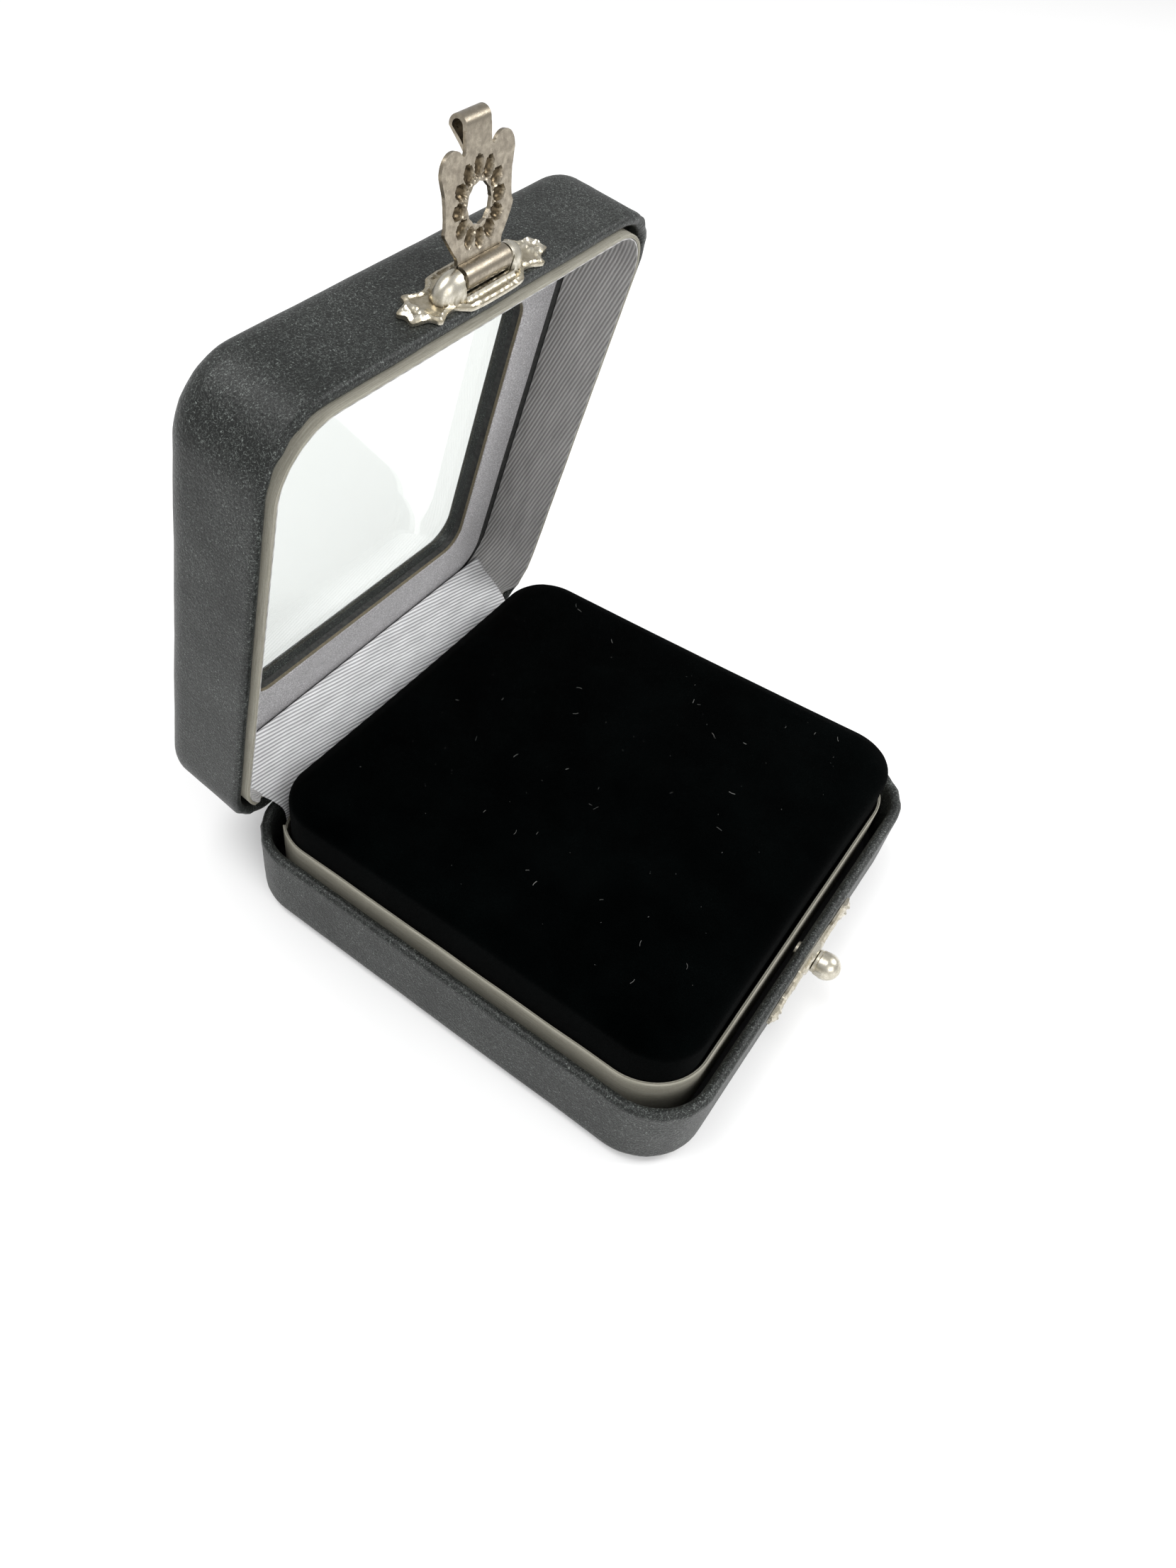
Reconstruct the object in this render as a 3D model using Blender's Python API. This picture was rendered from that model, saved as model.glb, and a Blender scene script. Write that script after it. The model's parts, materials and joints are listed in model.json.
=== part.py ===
"""Square presentation box for jewellery: covered base, windowed lid, hasp catch, press-fitted pad.

Frame: origin at the centre of the underside, +Z up, -Y the catch side, +Y the hinge side.
Sizes are in millimetres and become metres when a mesh is made. Lid and hasp are drawn closed,
relative to their own pins, and are then swung open by the empties that carry them.
"""
import math

import bmesh
import bpy
from mathutils import Vector

MM = 0.001
CORNER_STEPS = 7          # straight facets in each rounded plan corner
BEAD_STEPS = 6            # facets across a rolled rim

# Outlines in plan: half width, front edge, rear edge, corner radius
LID_PLAN = (40.0, -40.0, 40.0, 10.0)
BASE_PLAN = (39.9, -39.95, 39.75, 9.8)
BAND_PLAN = (36.95, -36.95, 37.3, 9.3)
PAD_PLAN = (36.25, -36.25, 35.6, 8.3)
LINER_PLAN = (37.95, -37.95, 37.95, 9.3)
WINDOW_PLAN = (29.2, -27.6, 27.6, 4.5)
CARD_WINDOW_PLAN = (26.5, -25.2, 25.2, 4.0)
SATIN_PLAN = (34.8, -35.3, 35.3, 6.0)

# Wall build-up, from the outside in
LEATHER = 0.4
SHELL_OUTSIDE = 0.45
SHELL_INSIDE = 1.25
FLAP_OUTSIDE = 1.3
COVER_INSIDE = 1.7
BEAD_RADIUS = COVER_INSIDE / 2
GLUE_LINE = 0.05

# Heights of the base
PANEL_THICKNESS = 0.25
COVER_UNDERSIDE = 0.3
FLOOR_UNDERSIDE = 0.75
FLOOR_TOP = 1.55
BASE_RIM = 14.1
BASE_EDGE_RADIUS = 2.0
BASE_FLAP_END = 6.0
BAND_TOP = 15.3
BAND_THICKNESS = 0.45
REAR_BAND_TOP = 11.4
PAD_TOP = 23.25
PAD_SHOULDER = 2.8

# Heights of the lid, closed
LID_RIM = 14.4
LID_TOP = 30.3
LID_EDGE_RADIUS = 4.5
LID_FLAP_END = 19.0
LINER_FOOT = 13.55
REAR_LINER_FOOT = 14.7
PANEL_UNDERSIDE = 28.15
TURN_IN_UNDERSIDE = 27.75
GLASS_UNDERSIDE = 25.65
GLASS_TOP = 27.65
CARD_UNDERSIDE = 24.55
CARD_TOP = 25.55
SATIN_UNDERSIDE = 24.2

# Lid hinge: a small piano hinge let into the rear walls
HINGE_Y = 38.7
HINGE_Z = 13.05
LID_OPENING = math.radians(79.0)
HINGE_HALF_LENGTH = 26.0
HINGE_KNUCKLES = 7
BARREL_RADIUS = 0.6
BARREL_BORE = 0.36
HINGE_PIN_RADIUS = 0.3
HINGE_LEAF = 0.3
END_PLAY = 0.1

# Hasp and catch
HASP_Y = -42.0
HASP_Z = 17.6
HASP_OPENING = math.radians(106.0)
HASP_SHEET = 0.5
HASP_BARREL_RADIUS = 1.6
HASP_HALF_LENGTH = 4.4
HASP_PIN_RADIUS = 1.0
HASP_PIN_HALF = 6.0
LEAF_OFFSET = 0.55        # from the pin out to the hanging leaf's outer face
HOLE_DROP = 7.3           # from the hasp pin down to the centre of its hole
HOLE_RADIUS = 2.35
PLATE_SHEET = 0.4
BOSS_RADIUS = 2.0
BOSS_START = 4.8
BOSS_LENGTH = 3.7
TIP_RADIUS = 1.25
TIP_DROP = 15.6
TIP_RETURN = 2.7
KNOB_RADIUS = 2.1
KNOB_Z = HASP_Z - HOLE_DROP
KNOB_TIP_Y = -44.7
SHANK_RADIUS = 0.8


# ---------------------------------------------------------------- materials

def make_look(name, colour, roughness, metallic=0.0, transmission=0.0):
    """One Principled material."""
    look = bpy.data.materials.new(name)
    look.use_nodes = True
    shader = look.node_tree.nodes["Principled BSDF"]
    shader.inputs["Base Color"].default_value = (*colour, 1.0)
    shader.inputs["Roughness"].default_value = roughness
    shader.inputs["Metallic"].default_value = metallic
    shader.inputs["Transmission Weight"].default_value = transmission
    look.diffuse_color = (*colour, 1.0)
    return look


LEATHER_BLACK = (0.035, 0.037, 0.035)
CREAM = (0.62, 0.60, 0.48)
SILVER_GREY = (0.55, 0.54, 0.55)
NICKEL = (0.72, 0.69, 0.60)


# ---------------------------------------------------------------- mesh helpers

def new_object(name, mesh_data, look):
    """Turn a bmesh in millimetres into a named object in metres."""
    bmesh.ops.recalc_face_normals(mesh_data, faces=mesh_data.faces[:])
    bmesh.ops.scale(mesh_data, vec=(MM, MM, MM), verts=mesh_data.verts[:])
    mesh = bpy.data.meshes.new(name)
    mesh_data.to_mesh(mesh)
    mesh_data.free()
    mesh.shade_smooth()
    mesh.set_sharp_from_angle(angle=math.radians(35.0))
    if look is not None:
        mesh.materials.append(look)
    obj = bpy.data.objects.new(name, mesh)
    bpy.context.collection.objects.link(obj)
    return obj


def inset(plan, distance):
    """The same outline moved inwards, or outwards for a negative distance."""
    half_x, front, rear, radius = plan
    return (half_x - distance, front + distance, rear - distance, max(radius - distance, 0.4))


def plan_points(plan, z):
    """Points of a rounded rectangle, anticlockwise from its right front corner."""
    half_x, front, rear, radius = plan
    centres = (
        (half_x - radius, front + radius, -90.0),
        (half_x - radius, rear - radius, 0.0),
        (radius - half_x, rear - radius, 90.0),
        (radius - half_x, front + radius, 180.0),
    )
    points = []
    for centre_x, centre_y, start in centres:
        for step in range(CORNER_STEPS + 1):
            angle = math.radians(start + 90.0 * step / CORNER_STEPS)
            x = centre_x + radius * math.cos(angle)
            y = centre_y + radius * math.sin(angle)
            points.append((x, y, z))
    return points


def loft(name, sections, look, origin=(0.0, 0.0, 0.0), looped=False):
    """Skin a stack of outlines. A looped stack closes on itself, another one is capped."""
    work = bmesh.new()
    rings = []
    for plan, z in sections:
        points = [Vector(p) - Vector(origin) for p in plan_points(plan, z)]
        rings.append([work.verts.new(p) for p in points])
    pairs = list(zip(rings, rings[1:]))
    if looped:
        pairs.append((rings[-1], rings[0]))
    else:
        work.faces.new(rings[0])
        work.faces.new(rings[-1])
    for low, high in pairs:
        count = len(low)
        for i in range(count):
            j = (i + 1) % count
            work.faces.new((low[i], low[j], high[j], high[i]))
    return new_object(name, work, look)


def extrude(name, outline, start, end, axis, look, origin=(0.0, 0.0, 0.0)):
    """Extrude a flat outline along X, with points (Y, Z), or along Y, with points (X, Z)."""
    work = bmesh.new()
    ends = []
    for along in (start, end):
        if axis == "X":
            points = [(along, u, v) for u, v in outline]
        else:
            points = [(u, along, v) for u, v in outline]
        ends.append([work.verts.new(Vector(p) - Vector(origin)) for p in points])
    work.faces.new(ends[0])
    work.faces.new(ends[1])
    count = len(outline)
    for i in range(count):
        j = (i + 1) % count
        work.faces.new((ends[0][i], ends[0][j], ends[1][j], ends[1][i]))
    return new_object(name, work, look)


def turn(name, profile, centre, axis, look, sides=20, origin=(0.0, 0.0, 0.0)):
    """Turn a profile of (radius, distance along the axis) points that ends on the axis both ways."""
    work = bmesh.new()
    shift = Vector(centre) - Vector(origin)

    def place(radius, along, angle):
        across = radius * math.cos(angle)
        up = radius * math.sin(angle)
        if axis == "X":
            return Vector((along, across, up)) + shift
        return Vector((across, along, up)) + shift

    rings = []
    for radius, along in profile:
        if radius == 0.0:
            rings.append([work.verts.new(place(0.0, along, 0.0))])
            continue
        angles = [2.0 * math.pi * step / sides for step in range(sides)]
        rings.append([work.verts.new(place(radius, along, angle)) for angle in angles])
    for low, high in zip(rings, rings[1:]):
        for i in range(sides):
            j = (i + 1) % sides
            corners = [low[i % len(low)], low[j % len(low)], high[j % len(high)], high[i % len(high)]]
            work.faces.new(list(dict.fromkeys(corners)))
    return new_object(name, work, look)


def block(name, low, high, look, origin=(0.0, 0.0, 0.0)):
    """A plain block between two corners."""
    outline = [(low[1], low[2]), (high[1], low[2]), (high[1], high[2]), (low[1], high[2])]
    return extrude(name, outline, low[0], high[0], "X", look, origin)


def rod(name, radius, low_x, high_x, y, z, look, origin=(0.0, 0.0, 0.0), sides=20):
    """A round rod along X."""
    profile = [(0.0, low_x), (radius, low_x), (radius, high_x), (0.0, high_x)]
    return turn(name, profile, (0.0, y, z), "X", look, sides, origin)


def combine(target, other, operation):
    """Union or cut another object, which is then only a guide."""
    step = target.modifiers.new(other.name, "BOOLEAN")
    step.operation = operation
    step.solver = "EXACT"
    step.object = other
    other.hide_render = True
    other.display_type = "WIRE"


def arc(centre_u, centre_v, radius, first, last, steps):
    """Points along an arc, in degrees."""
    points = []
    for step in range(steps + 1):
        angle = math.radians(first + (last - first) * step / steps)
        points.append((centre_u + radius * math.cos(angle), centre_v + radius * math.sin(angle)))
    return points


def make_pivot(name, point, rotation, parent=None, parent_point=(0.0, 0.0, 0.0)):
    """An empty on a joint's axis, turned about +X from the closed position."""
    pivot = bpy.data.objects.new(name, None)
    bpy.context.collection.objects.link(pivot)
    pivot.location = (Vector(point) - Vector(parent_point)) * MM
    pivot.rotation_euler = (rotation, 0.0, 0.0)
    pivot.parent = parent
    return pivot


# ---------------------------------------------------------------- rolled rim and covers

def bead(plan, rim_z, radius, upwards, inner_first):
    """Half-round rim in the wall's own plane, as sections from one wall face to the other."""
    side = 1.0 if upwards else -1.0
    centre_z = rim_z - side * BEAD_RADIUS
    sections = []
    for step in range(BEAD_STEPS + 1):
        angle = math.pi * step / BEAD_STEPS
        if inner_first:
            angle = math.pi - angle
        distance = BEAD_RADIUS - radius * math.cos(angle)
        sections.append((inset(plan, distance), centre_z + side * radius * math.sin(angle)))
    return sections


def make_base(look):
    """Shell, leather cover, underside panel and liner band of the base."""
    floor_arc = arc(0.0, 0.0, BASE_EDGE_RADIUS, 0.0, 90.0, 5)
    centre_z = COVER_UNDERSIDE + BASE_EDGE_RADIUS
    outer_arc = [(inset(BASE_PLAN, BASE_EDGE_RADIUS - u), centre_z - v) for u, v in floor_arc]
    shrink = (BASE_EDGE_RADIUS - LEATHER) / BASE_EDGE_RADIUS
    inner_arc = [(inset(BASE_PLAN, BASE_EDGE_RADIUS - u * shrink), centre_z - v * shrink)
                 for u, v in floor_arc]
    turned_under = inset(BASE_PLAN, 10.0)
    cover = [(inset(BASE_PLAN, COVER_INSIDE), BASE_FLAP_END)]
    cover += bead(BASE_PLAN, BASE_RIM, BEAD_RADIUS, True, True)
    cover += outer_arc
    cover += [(turned_under, COVER_UNDERSIDE), (turned_under, COVER_UNDERSIDE + LEATHER)]
    cover += inner_arc[::-1]
    cover += bead(BASE_PLAN, BASE_RIM, BEAD_RADIUS - LEATHER, True, False)
    cover.append((inset(BASE_PLAN, FLAP_OUTSIDE), BASE_FLAP_END))
    base_cover = loft("base_cover", cover, look["leather"], looped=True)

    shell_radius = BASE_EDGE_RADIUS - SHELL_OUTSIDE
    shell_rim = BASE_RIM - LEATHER - 2.0 * GLUE_LINE
    shell = []
    for u, v in reversed(floor_arc):
        across = u * shell_radius / BASE_EDGE_RADIUS
        down = v * shell_radius / BASE_EDGE_RADIUS
        shell.append((inset(BASE_PLAN, BASE_EDGE_RADIUS - across), FLOOR_UNDERSIDE + shell_radius - down))
    shell += [(inset(BASE_PLAN, SHELL_OUTSIDE), shell_rim - 0.3)]
    shell += [(inset(BASE_PLAN, SHELL_OUTSIDE + 0.25), shell_rim)]
    shell += [(inset(BASE_PLAN, SHELL_INSIDE - 0.25), shell_rim)]
    shell += [(inset(BASE_PLAN, SHELL_INSIDE), shell_rim - 0.3)]
    shell += [(inset(BASE_PLAN, SHELL_INSIDE), FLOOR_TOP + 0.8)]
    shell += [(inset(BASE_PLAN, SHELL_INSIDE + 0.8), FLOOR_TOP)]
    base_shell = loft("base_shell", shell, look["shell"])

    panel_plan = inset(BASE_PLAN, 3.5)
    panel = [(panel_plan, 0.0), (panel_plan, PANEL_THICKNESS)]
    loft("base_bottom_panel", panel, look["paper"])

    band_inside = inset(BAND_PLAN, BAND_THICKNESS)
    band_foot = FLOOR_TOP + GLUE_LINE
    band = [(BAND_PLAN, band_foot), (BAND_PLAN, BAND_TOP), (band_inside, BAND_TOP), (band_inside, band_foot)]
    base_band = loft("base_liner_band", band, look["cream"], looped=True)
    rear_gap = block("rear_gap_cutter", (-34.0, 30.0, REAR_BAND_TOP), (34.0, 45.0, 20.0), None)
    combine(base_band, rear_gap, "DIFFERENCE")

    mouth = HINGE_HALF_LENGTH + 0.5
    well = block("hinge_well_cutter", (-mouth, 37.0, 12.1), (mouth, 45.0, 20.0), None)
    recess = block("base_leaf_cutter", (-mouth, 37.5, 5.0), (mouth, 38.48, 20.0), None)
    combine(base_cover, well, "DIFFERENCE")
    combine(base_cover, recess, "DIFFERENCE")
    combine(base_shell, well, "DIFFERENCE")
    hole = turn("shank_cutter", [(0.0, -45.0), (SHANK_RADIUS + 0.1, -45.0), (SHANK_RADIUS + 0.1, -37.6),
                                 (0.0, -37.6)], (0.0, 0.0, KNOB_Z), "Y", None, 16)
    combine(base_cover, hole, "DIFFERENCE")
    combine(base_shell, hole, "DIFFERENCE")


def make_lid(look, pivot):
    """Leather cover, shell, glazing and liner of the lid, drawn closed."""
    origin = (0.0, HINGE_Y, HINGE_Z)
    top_arc = arc(0.0, 0.0, 1.0, 0.0, 90.0, 6)
    centre_z = LID_TOP - LID_EDGE_RADIUS

    def edge(offset):
        radius = LID_EDGE_RADIUS - offset
        return [(inset(LID_PLAN, LID_EDGE_RADIUS - radius * u), centre_z + radius * v) for u, v in top_arc]

    round_over = 0.5
    turned_under = inset(WINDOW_PLAN, -3.0)
    behind_leather = inset(WINDOW_PLAN, -LEATHER)
    cover = [(inset(LID_PLAN, COVER_INSIDE), LID_FLAP_END)]
    cover += bead(LID_PLAN, LID_RIM, BEAD_RADIUS, False, True)
    cover += edge(0.0)
    cover += [(inset(WINDOW_PLAN, -round_over), LID_TOP)]
    cover += [(inset(WINDOW_PLAN, -0.15), LID_TOP - 0.15), (WINDOW_PLAN, LID_TOP - round_over)]
    cover += [(WINDOW_PLAN, TURN_IN_UNDERSIDE), (turned_under, TURN_IN_UNDERSIDE)]
    cover += [(turned_under, TURN_IN_UNDERSIDE + 0.35), (behind_leather, TURN_IN_UNDERSIDE + 0.35)]
    cover += [(behind_leather, LID_TOP - LEATHER)]
    cover += edge(LEATHER)[::-1]
    cover += bead(LID_PLAN, LID_RIM, BEAD_RADIUS - LEATHER, False, False)
    cover.append((inset(LID_PLAN, FLAP_OUTSIDE), LID_FLAP_END))
    lid_cover = loft("lid_cover", cover, look["leather"], origin, looped=True)

    shell_rim = LID_RIM + LEATHER + 2.0 * GLUE_LINE
    window_edge = inset(WINDOW_PLAN, -LEATHER - GLUE_LINE)
    shell = [(inset(LID_PLAN, SHELL_INSIDE), shell_rim + 0.3)]
    shell += [(inset(LID_PLAN, SHELL_INSIDE - 0.25), shell_rim)]
    shell += [(inset(LID_PLAN, SHELL_OUTSIDE + 0.25), shell_rim)]
    shell += [(inset(LID_PLAN, SHELL_OUTSIDE), shell_rim + 0.3)]
    shell += edge(SHELL_OUTSIDE)
    shell += [(window_edge, LID_TOP - SHELL_OUTSIDE), (window_edge, PANEL_UNDERSIDE)]
    inner_radius = 3.0
    for u, v in reversed(top_arc):
        distance = SHELL_INSIDE + inner_radius * (1.0 - u)
        shell.append((inset(LID_PLAN, distance), PANEL_UNDERSIDE - inner_radius * (1.0 - v)))
    lid_shell = loft("lid_shell", shell, look["shell"], origin, looped=True)
    lid_shell.parent = pivot

    glass_plan = inset(WINDOW_PLAN, -3.2)
    glass = [(inset(glass_plan, 0.2), GLASS_UNDERSIDE), (glass_plan, GLASS_UNDERSIDE + 0.2)]
    glass += [(glass_plan, GLASS_TOP - 0.2), (inset(glass_plan, 0.2), GLASS_TOP)]
    pieces = [loft("window_glass", glass, look["glass"], origin)]

    card_plan = inset(LID_PLAN, COVER_INSIDE - 0.15)
    card = [(card_plan, CARD_UNDERSIDE), (card_plan, CARD_TOP), (CARD_WINDOW_PLAN, CARD_TOP)]
    card += [(CARD_WINDOW_PLAN, CARD_UNDERSIDE)]
    pieces.append(loft("window_card", card, look["black_card"], origin, looped=True))
    satin_top = CARD_UNDERSIDE - GLUE_LINE
    satin = [(SATIN_PLAN, satin_top), (SATIN_PLAN, SATIN_UNDERSIDE + 0.1)]
    satin += [(inset(SATIN_PLAN, 0.2), SATIN_UNDERSIDE), (inset(CARD_WINDOW_PLAN, -0.1), SATIN_UNDERSIDE)]
    satin += [(inset(CARD_WINDOW_PLAN, -0.1), satin_top)]
    pieces.append(loft("window_satin", satin, look["satin"], origin, looped=True))

    card_inside = inset(LINER_PLAN, 0.5)
    liner_top = CARD_UNDERSIDE - 0.1
    liner = [(LINER_PLAN, LINER_FOOT), (LINER_PLAN, liner_top), (card_inside, liner_top)]
    liner += [(card_inside, LINER_FOOT)]
    liner_card = loft("lid_liner_card", liner, look["cream"], origin, looped=True)
    twill_outside = inset(LINER_PLAN, 0.55)
    twill_inside = inset(LINER_PLAN, 0.7)
    twill = [(twill_outside, LINER_FOOT), (twill_outside, SATIN_UNDERSIDE)]
    twill += [(twill_inside, SATIN_UNDERSIDE), (twill_inside, LINER_FOOT)]
    liner_twill = loft("lid_liner_twill", twill, look["satin"], origin, looped=True)
    foot_cutter = block("rear_foot_cutter", (-50.0, 36.0, 10.0), (50.0, 50.0, REAR_LINER_FOOT), None, origin)
    combine(liner_card, foot_cutter, "DIFFERENCE")
    combine(liner_twill, foot_cutter, "DIFFERENCE")
    pieces += [liner_card, liner_twill, foot_cutter]

    mouth = HINGE_HALF_LENGTH + 0.5
    recess = block("lid_leaf_cutter", (-mouth, 37.0, 10.0), (mouth, 38.73, LID_FLAP_END + 1.0), None, origin)
    combine(lid_cover, recess, "DIFFERENCE")
    for piece in pieces + [lid_cover, recess]:
        piece.parent = pivot


# ---------------------------------------------------------------- hinge

def knuckle_outline(leaf_y, leaf_end_z):
    """Sections of a round knuckle and of the leaf that runs on from it."""
    side = 1.0 if leaf_end_z > HINGE_Z else -1.0
    circle = arc(HINGE_Y, HINGE_Z, BARREL_RADIUS, 0.0, 360.0, 16)[:-1]
    leaf = [(leaf_y, HINGE_Z + side * 0.1), (leaf_y + HINGE_LEAF, HINGE_Z + side * 0.1),
            (leaf_y + HINGE_LEAF, leaf_end_z), (leaf_y, leaf_end_z)]
    return circle, leaf


def make_hinge_leaf(name, leaf_y, leaf_end_z, odd, look, origin):
    """A hinge leaf with every second knuckle of the barrel."""
    circle, leaf = knuckle_outline(leaf_y, leaf_end_z)
    pitch = 2.0 * HINGE_HALF_LENGTH / HINGE_KNUCKLES
    half = HINGE_HALF_LENGTH
    plate = extrude(name, leaf, -half, half, "X", look, origin)
    guides = []
    for index in range(HINGE_KNUCKLES):
        start = -half + index * pitch
        end = start + pitch
        own = (index % 2 == 1) == odd
        if own:
            knuckle = extrude(f"{name}_knuckle_{index}", circle, start + END_PLAY, end - END_PLAY, "X",
                              None, origin)
            combine(plate, knuckle, "UNION")
        else:
            reach = BARREL_RADIUS + 0.25
            knuckle = block(f"{name}_gap_{index}", (start - END_PLAY, HINGE_Y - reach, HINGE_Z - reach),
                            (end + END_PLAY, HINGE_Y + reach, HINGE_Z + reach), None, origin)
            combine(plate, knuckle, "DIFFERENCE")
        guides.append(knuckle)
    bore = rod(f"{name}_bore", BARREL_BORE, -half - 1.0, half + 1.0, HINGE_Y, HINGE_Z, None, origin, 16)
    combine(plate, bore, "DIFFERENCE")
    guides.append(bore)
    return plate, guides


def make_hinge(look, pivot):
    """Piano hinge with one leaf on each rear wall, its pin, and the cloth that hides it."""
    origin = (0.0, HINGE_Y, HINGE_Z)
    make_hinge_leaf("hinge_leaf_base", 38.15, 5.6, False, look["steel"], (0.0, 0.0, 0.0))
    plate, guides = make_hinge_leaf("hinge_leaf_lid", 38.4, 19.4, True, look["steel"], origin)
    for piece in guides + [plate]:
        piece.parent = pivot
    rod("hinge_pin", HINGE_PIN_RADIUS, -HINGE_HALF_LENGTH, HINGE_HALF_LENGTH, HINGE_Y, HINGE_Z,
        look["steel"], sides=16)
    block("hinge_cloth_base", (-28.0, 36.2, 5.0), (28.0, 36.8, 13.6), look["satin"])
    lid_cloth = block("hinge_cloth_lid", (-30.5, 36.1, 14.7), (30.5, 36.9, 23.9), look["satin"], origin)
    lid_cloth.parent = pivot


# ---------------------------------------------------------------- pad

def make_pad(look):
    """Card form, foam and velvet of the pad pressed into the base."""
    def crown(plan, top, radius):
        sections = []
        for u, v in arc(0.0, 0.0, radius, 0.0, 90.0, 6):
            sections.append((inset(plan, radius - u), top - radius + v))
        return sections

    foot = FLOOR_TOP + 0.35
    velvet_thickness = 0.6
    foam_gap = 0.45
    form_plan = inset(PAD_PLAN, velvet_thickness + 0.2)
    foam_plan = inset(PAD_PLAN, velvet_thickness + foam_gap)
    foam_top = PAD_TOP - velvet_thickness - foam_gap
    velvet = [(PAD_PLAN, foot)] + crown(PAD_PLAN, PAD_TOP, PAD_SHOULDER)
    lining = [(inset(PAD_PLAN, velvet_thickness), foot)]
    lining += crown(inset(PAD_PLAN, velvet_thickness), PAD_TOP - velvet_thickness,
                    PAD_SHOULDER - velvet_thickness)
    loft("pad_velvet", lining[::-1] + velvet, look["velvet"])
    form_top = 18.6
    foam = [(foam_plan, form_top + GLUE_LINE)] + crown(foam_plan, foam_top, PAD_SHOULDER - 0.7)
    loft("pad_foam", foam, look["foam"])
    wall = 1.2
    inner = inset(form_plan, wall)
    form = [(inner, form_top - wall), (inner, foot), (form_plan, foot), (form_plan, form_top)]
    loft("pad_form", form, look["board"])


# ---------------------------------------------------------------- hasp and catch

def plate_outline(centre_z, half_length, half_height):
    """Scalloped mount: a broad body, a pinched waist each side, and a notched end."""
    right = [(0.36, 1.0), (0.43, 0.78), (0.51, 0.58), (0.62, 0.62), (0.76, 0.86), (0.80, 0.50),
             (0.88, 0.42), (1.0, 0.32), (0.95, 0.0)]
    upper = [(half_length * u, half_height * v) for u, v in right]
    lower = [(x, -z) for x, z in reversed(upper[:-1])]
    half = upper + lower
    points = half + [(-x, -z) for x, z in half]
    return [(x, centre_z + z) for x, z in points]


def make_hasp(look, lid_pivot, pivot):
    """Hasp mount with its pin on the lid, and the pierced leaf that swings on it."""
    lid_origin = (0.0, HINGE_Y, HINGE_Z)
    back = -40.0 - GLUE_LINE
    plate = extrude("hasp_plate", plate_outline(HASP_Z + 0.3, 13.8, 3.9), back - PLATE_SHEET, back, "Y",
                    look["nickel"], lid_origin)
    guides = []
    for side in (-1.0, 1.0):
        profile = [(0.0, side * BOSS_START)]
        for u, v in arc(0.0, 0.0, 1.0, 90.0, 0.0, 6):
            profile.append((BOSS_RADIUS * v, side * (BOSS_START + BOSS_LENGTH * u)))
        profile[-1] = (0.0, side * (BOSS_START + BOSS_LENGTH))
        label = "boss_right" if side > 0.0 else "boss_left"
        boss = turn(label, profile, (0.0, HASP_Y, HASP_Z), "X", None, 20, lid_origin)
        combine(plate, boss, "UNION")
        guides.append(boss)
    behind = block("behind_plate", (-20.0, back, 5.0), (20.0, -30.0, 30.0), None, lid_origin)
    well = block("barrel_well", (-HASP_HALF_LENGTH - 0.4, -50.0, HASP_Z - 2.0),
                 (HASP_HALF_LENGTH + 0.4, -35.0, HASP_Z + 2.1), None, lid_origin)
    bore = rod("hasp_bore", HASP_PIN_RADIUS + 0.05, -HASP_PIN_HALF - 0.1, HASP_PIN_HALF + 0.1, HASP_Y,
               HASP_Z, None, lid_origin)
    for guide in (behind, well, bore):
        combine(plate, guide, "DIFFERENCE")
        guides.append(guide)
    pin = rod("hasp_pin", HASP_PIN_RADIUS, -HASP_PIN_HALF, HASP_PIN_HALF, HASP_Y, HASP_Z,
              look["nickel"], lid_origin)
    for piece in guides + [plate, pin]:
        piece.parent = lid_pivot

    make_leaf(look, pivot)


def tip_outline(outside, inside):
    """Section of the leaf's tip: folded round outwards and straight back up to the stem."""
    centre_y = inside - TIP_RADIUS
    centre_z = HASP_Z - TIP_DROP
    points = arc(centre_y, centre_z, TIP_RADIUS, 0.0, -180.0, 12)
    points += [(outside + 0.1, centre_z + TIP_RETURN), (outside + 0.1, centre_z + TIP_RETURN - 0.8)]
    points += arc(centre_y, centre_z, TIP_RADIUS - HASP_SHEET, -180.0, 0.0, 12)
    points += [(outside, centre_z + 0.1), (outside + 0.03, centre_z + 0.5), (inside - 0.03, centre_z + 0.5)]
    points.append((inside, centre_z + 0.1))
    return points


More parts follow.
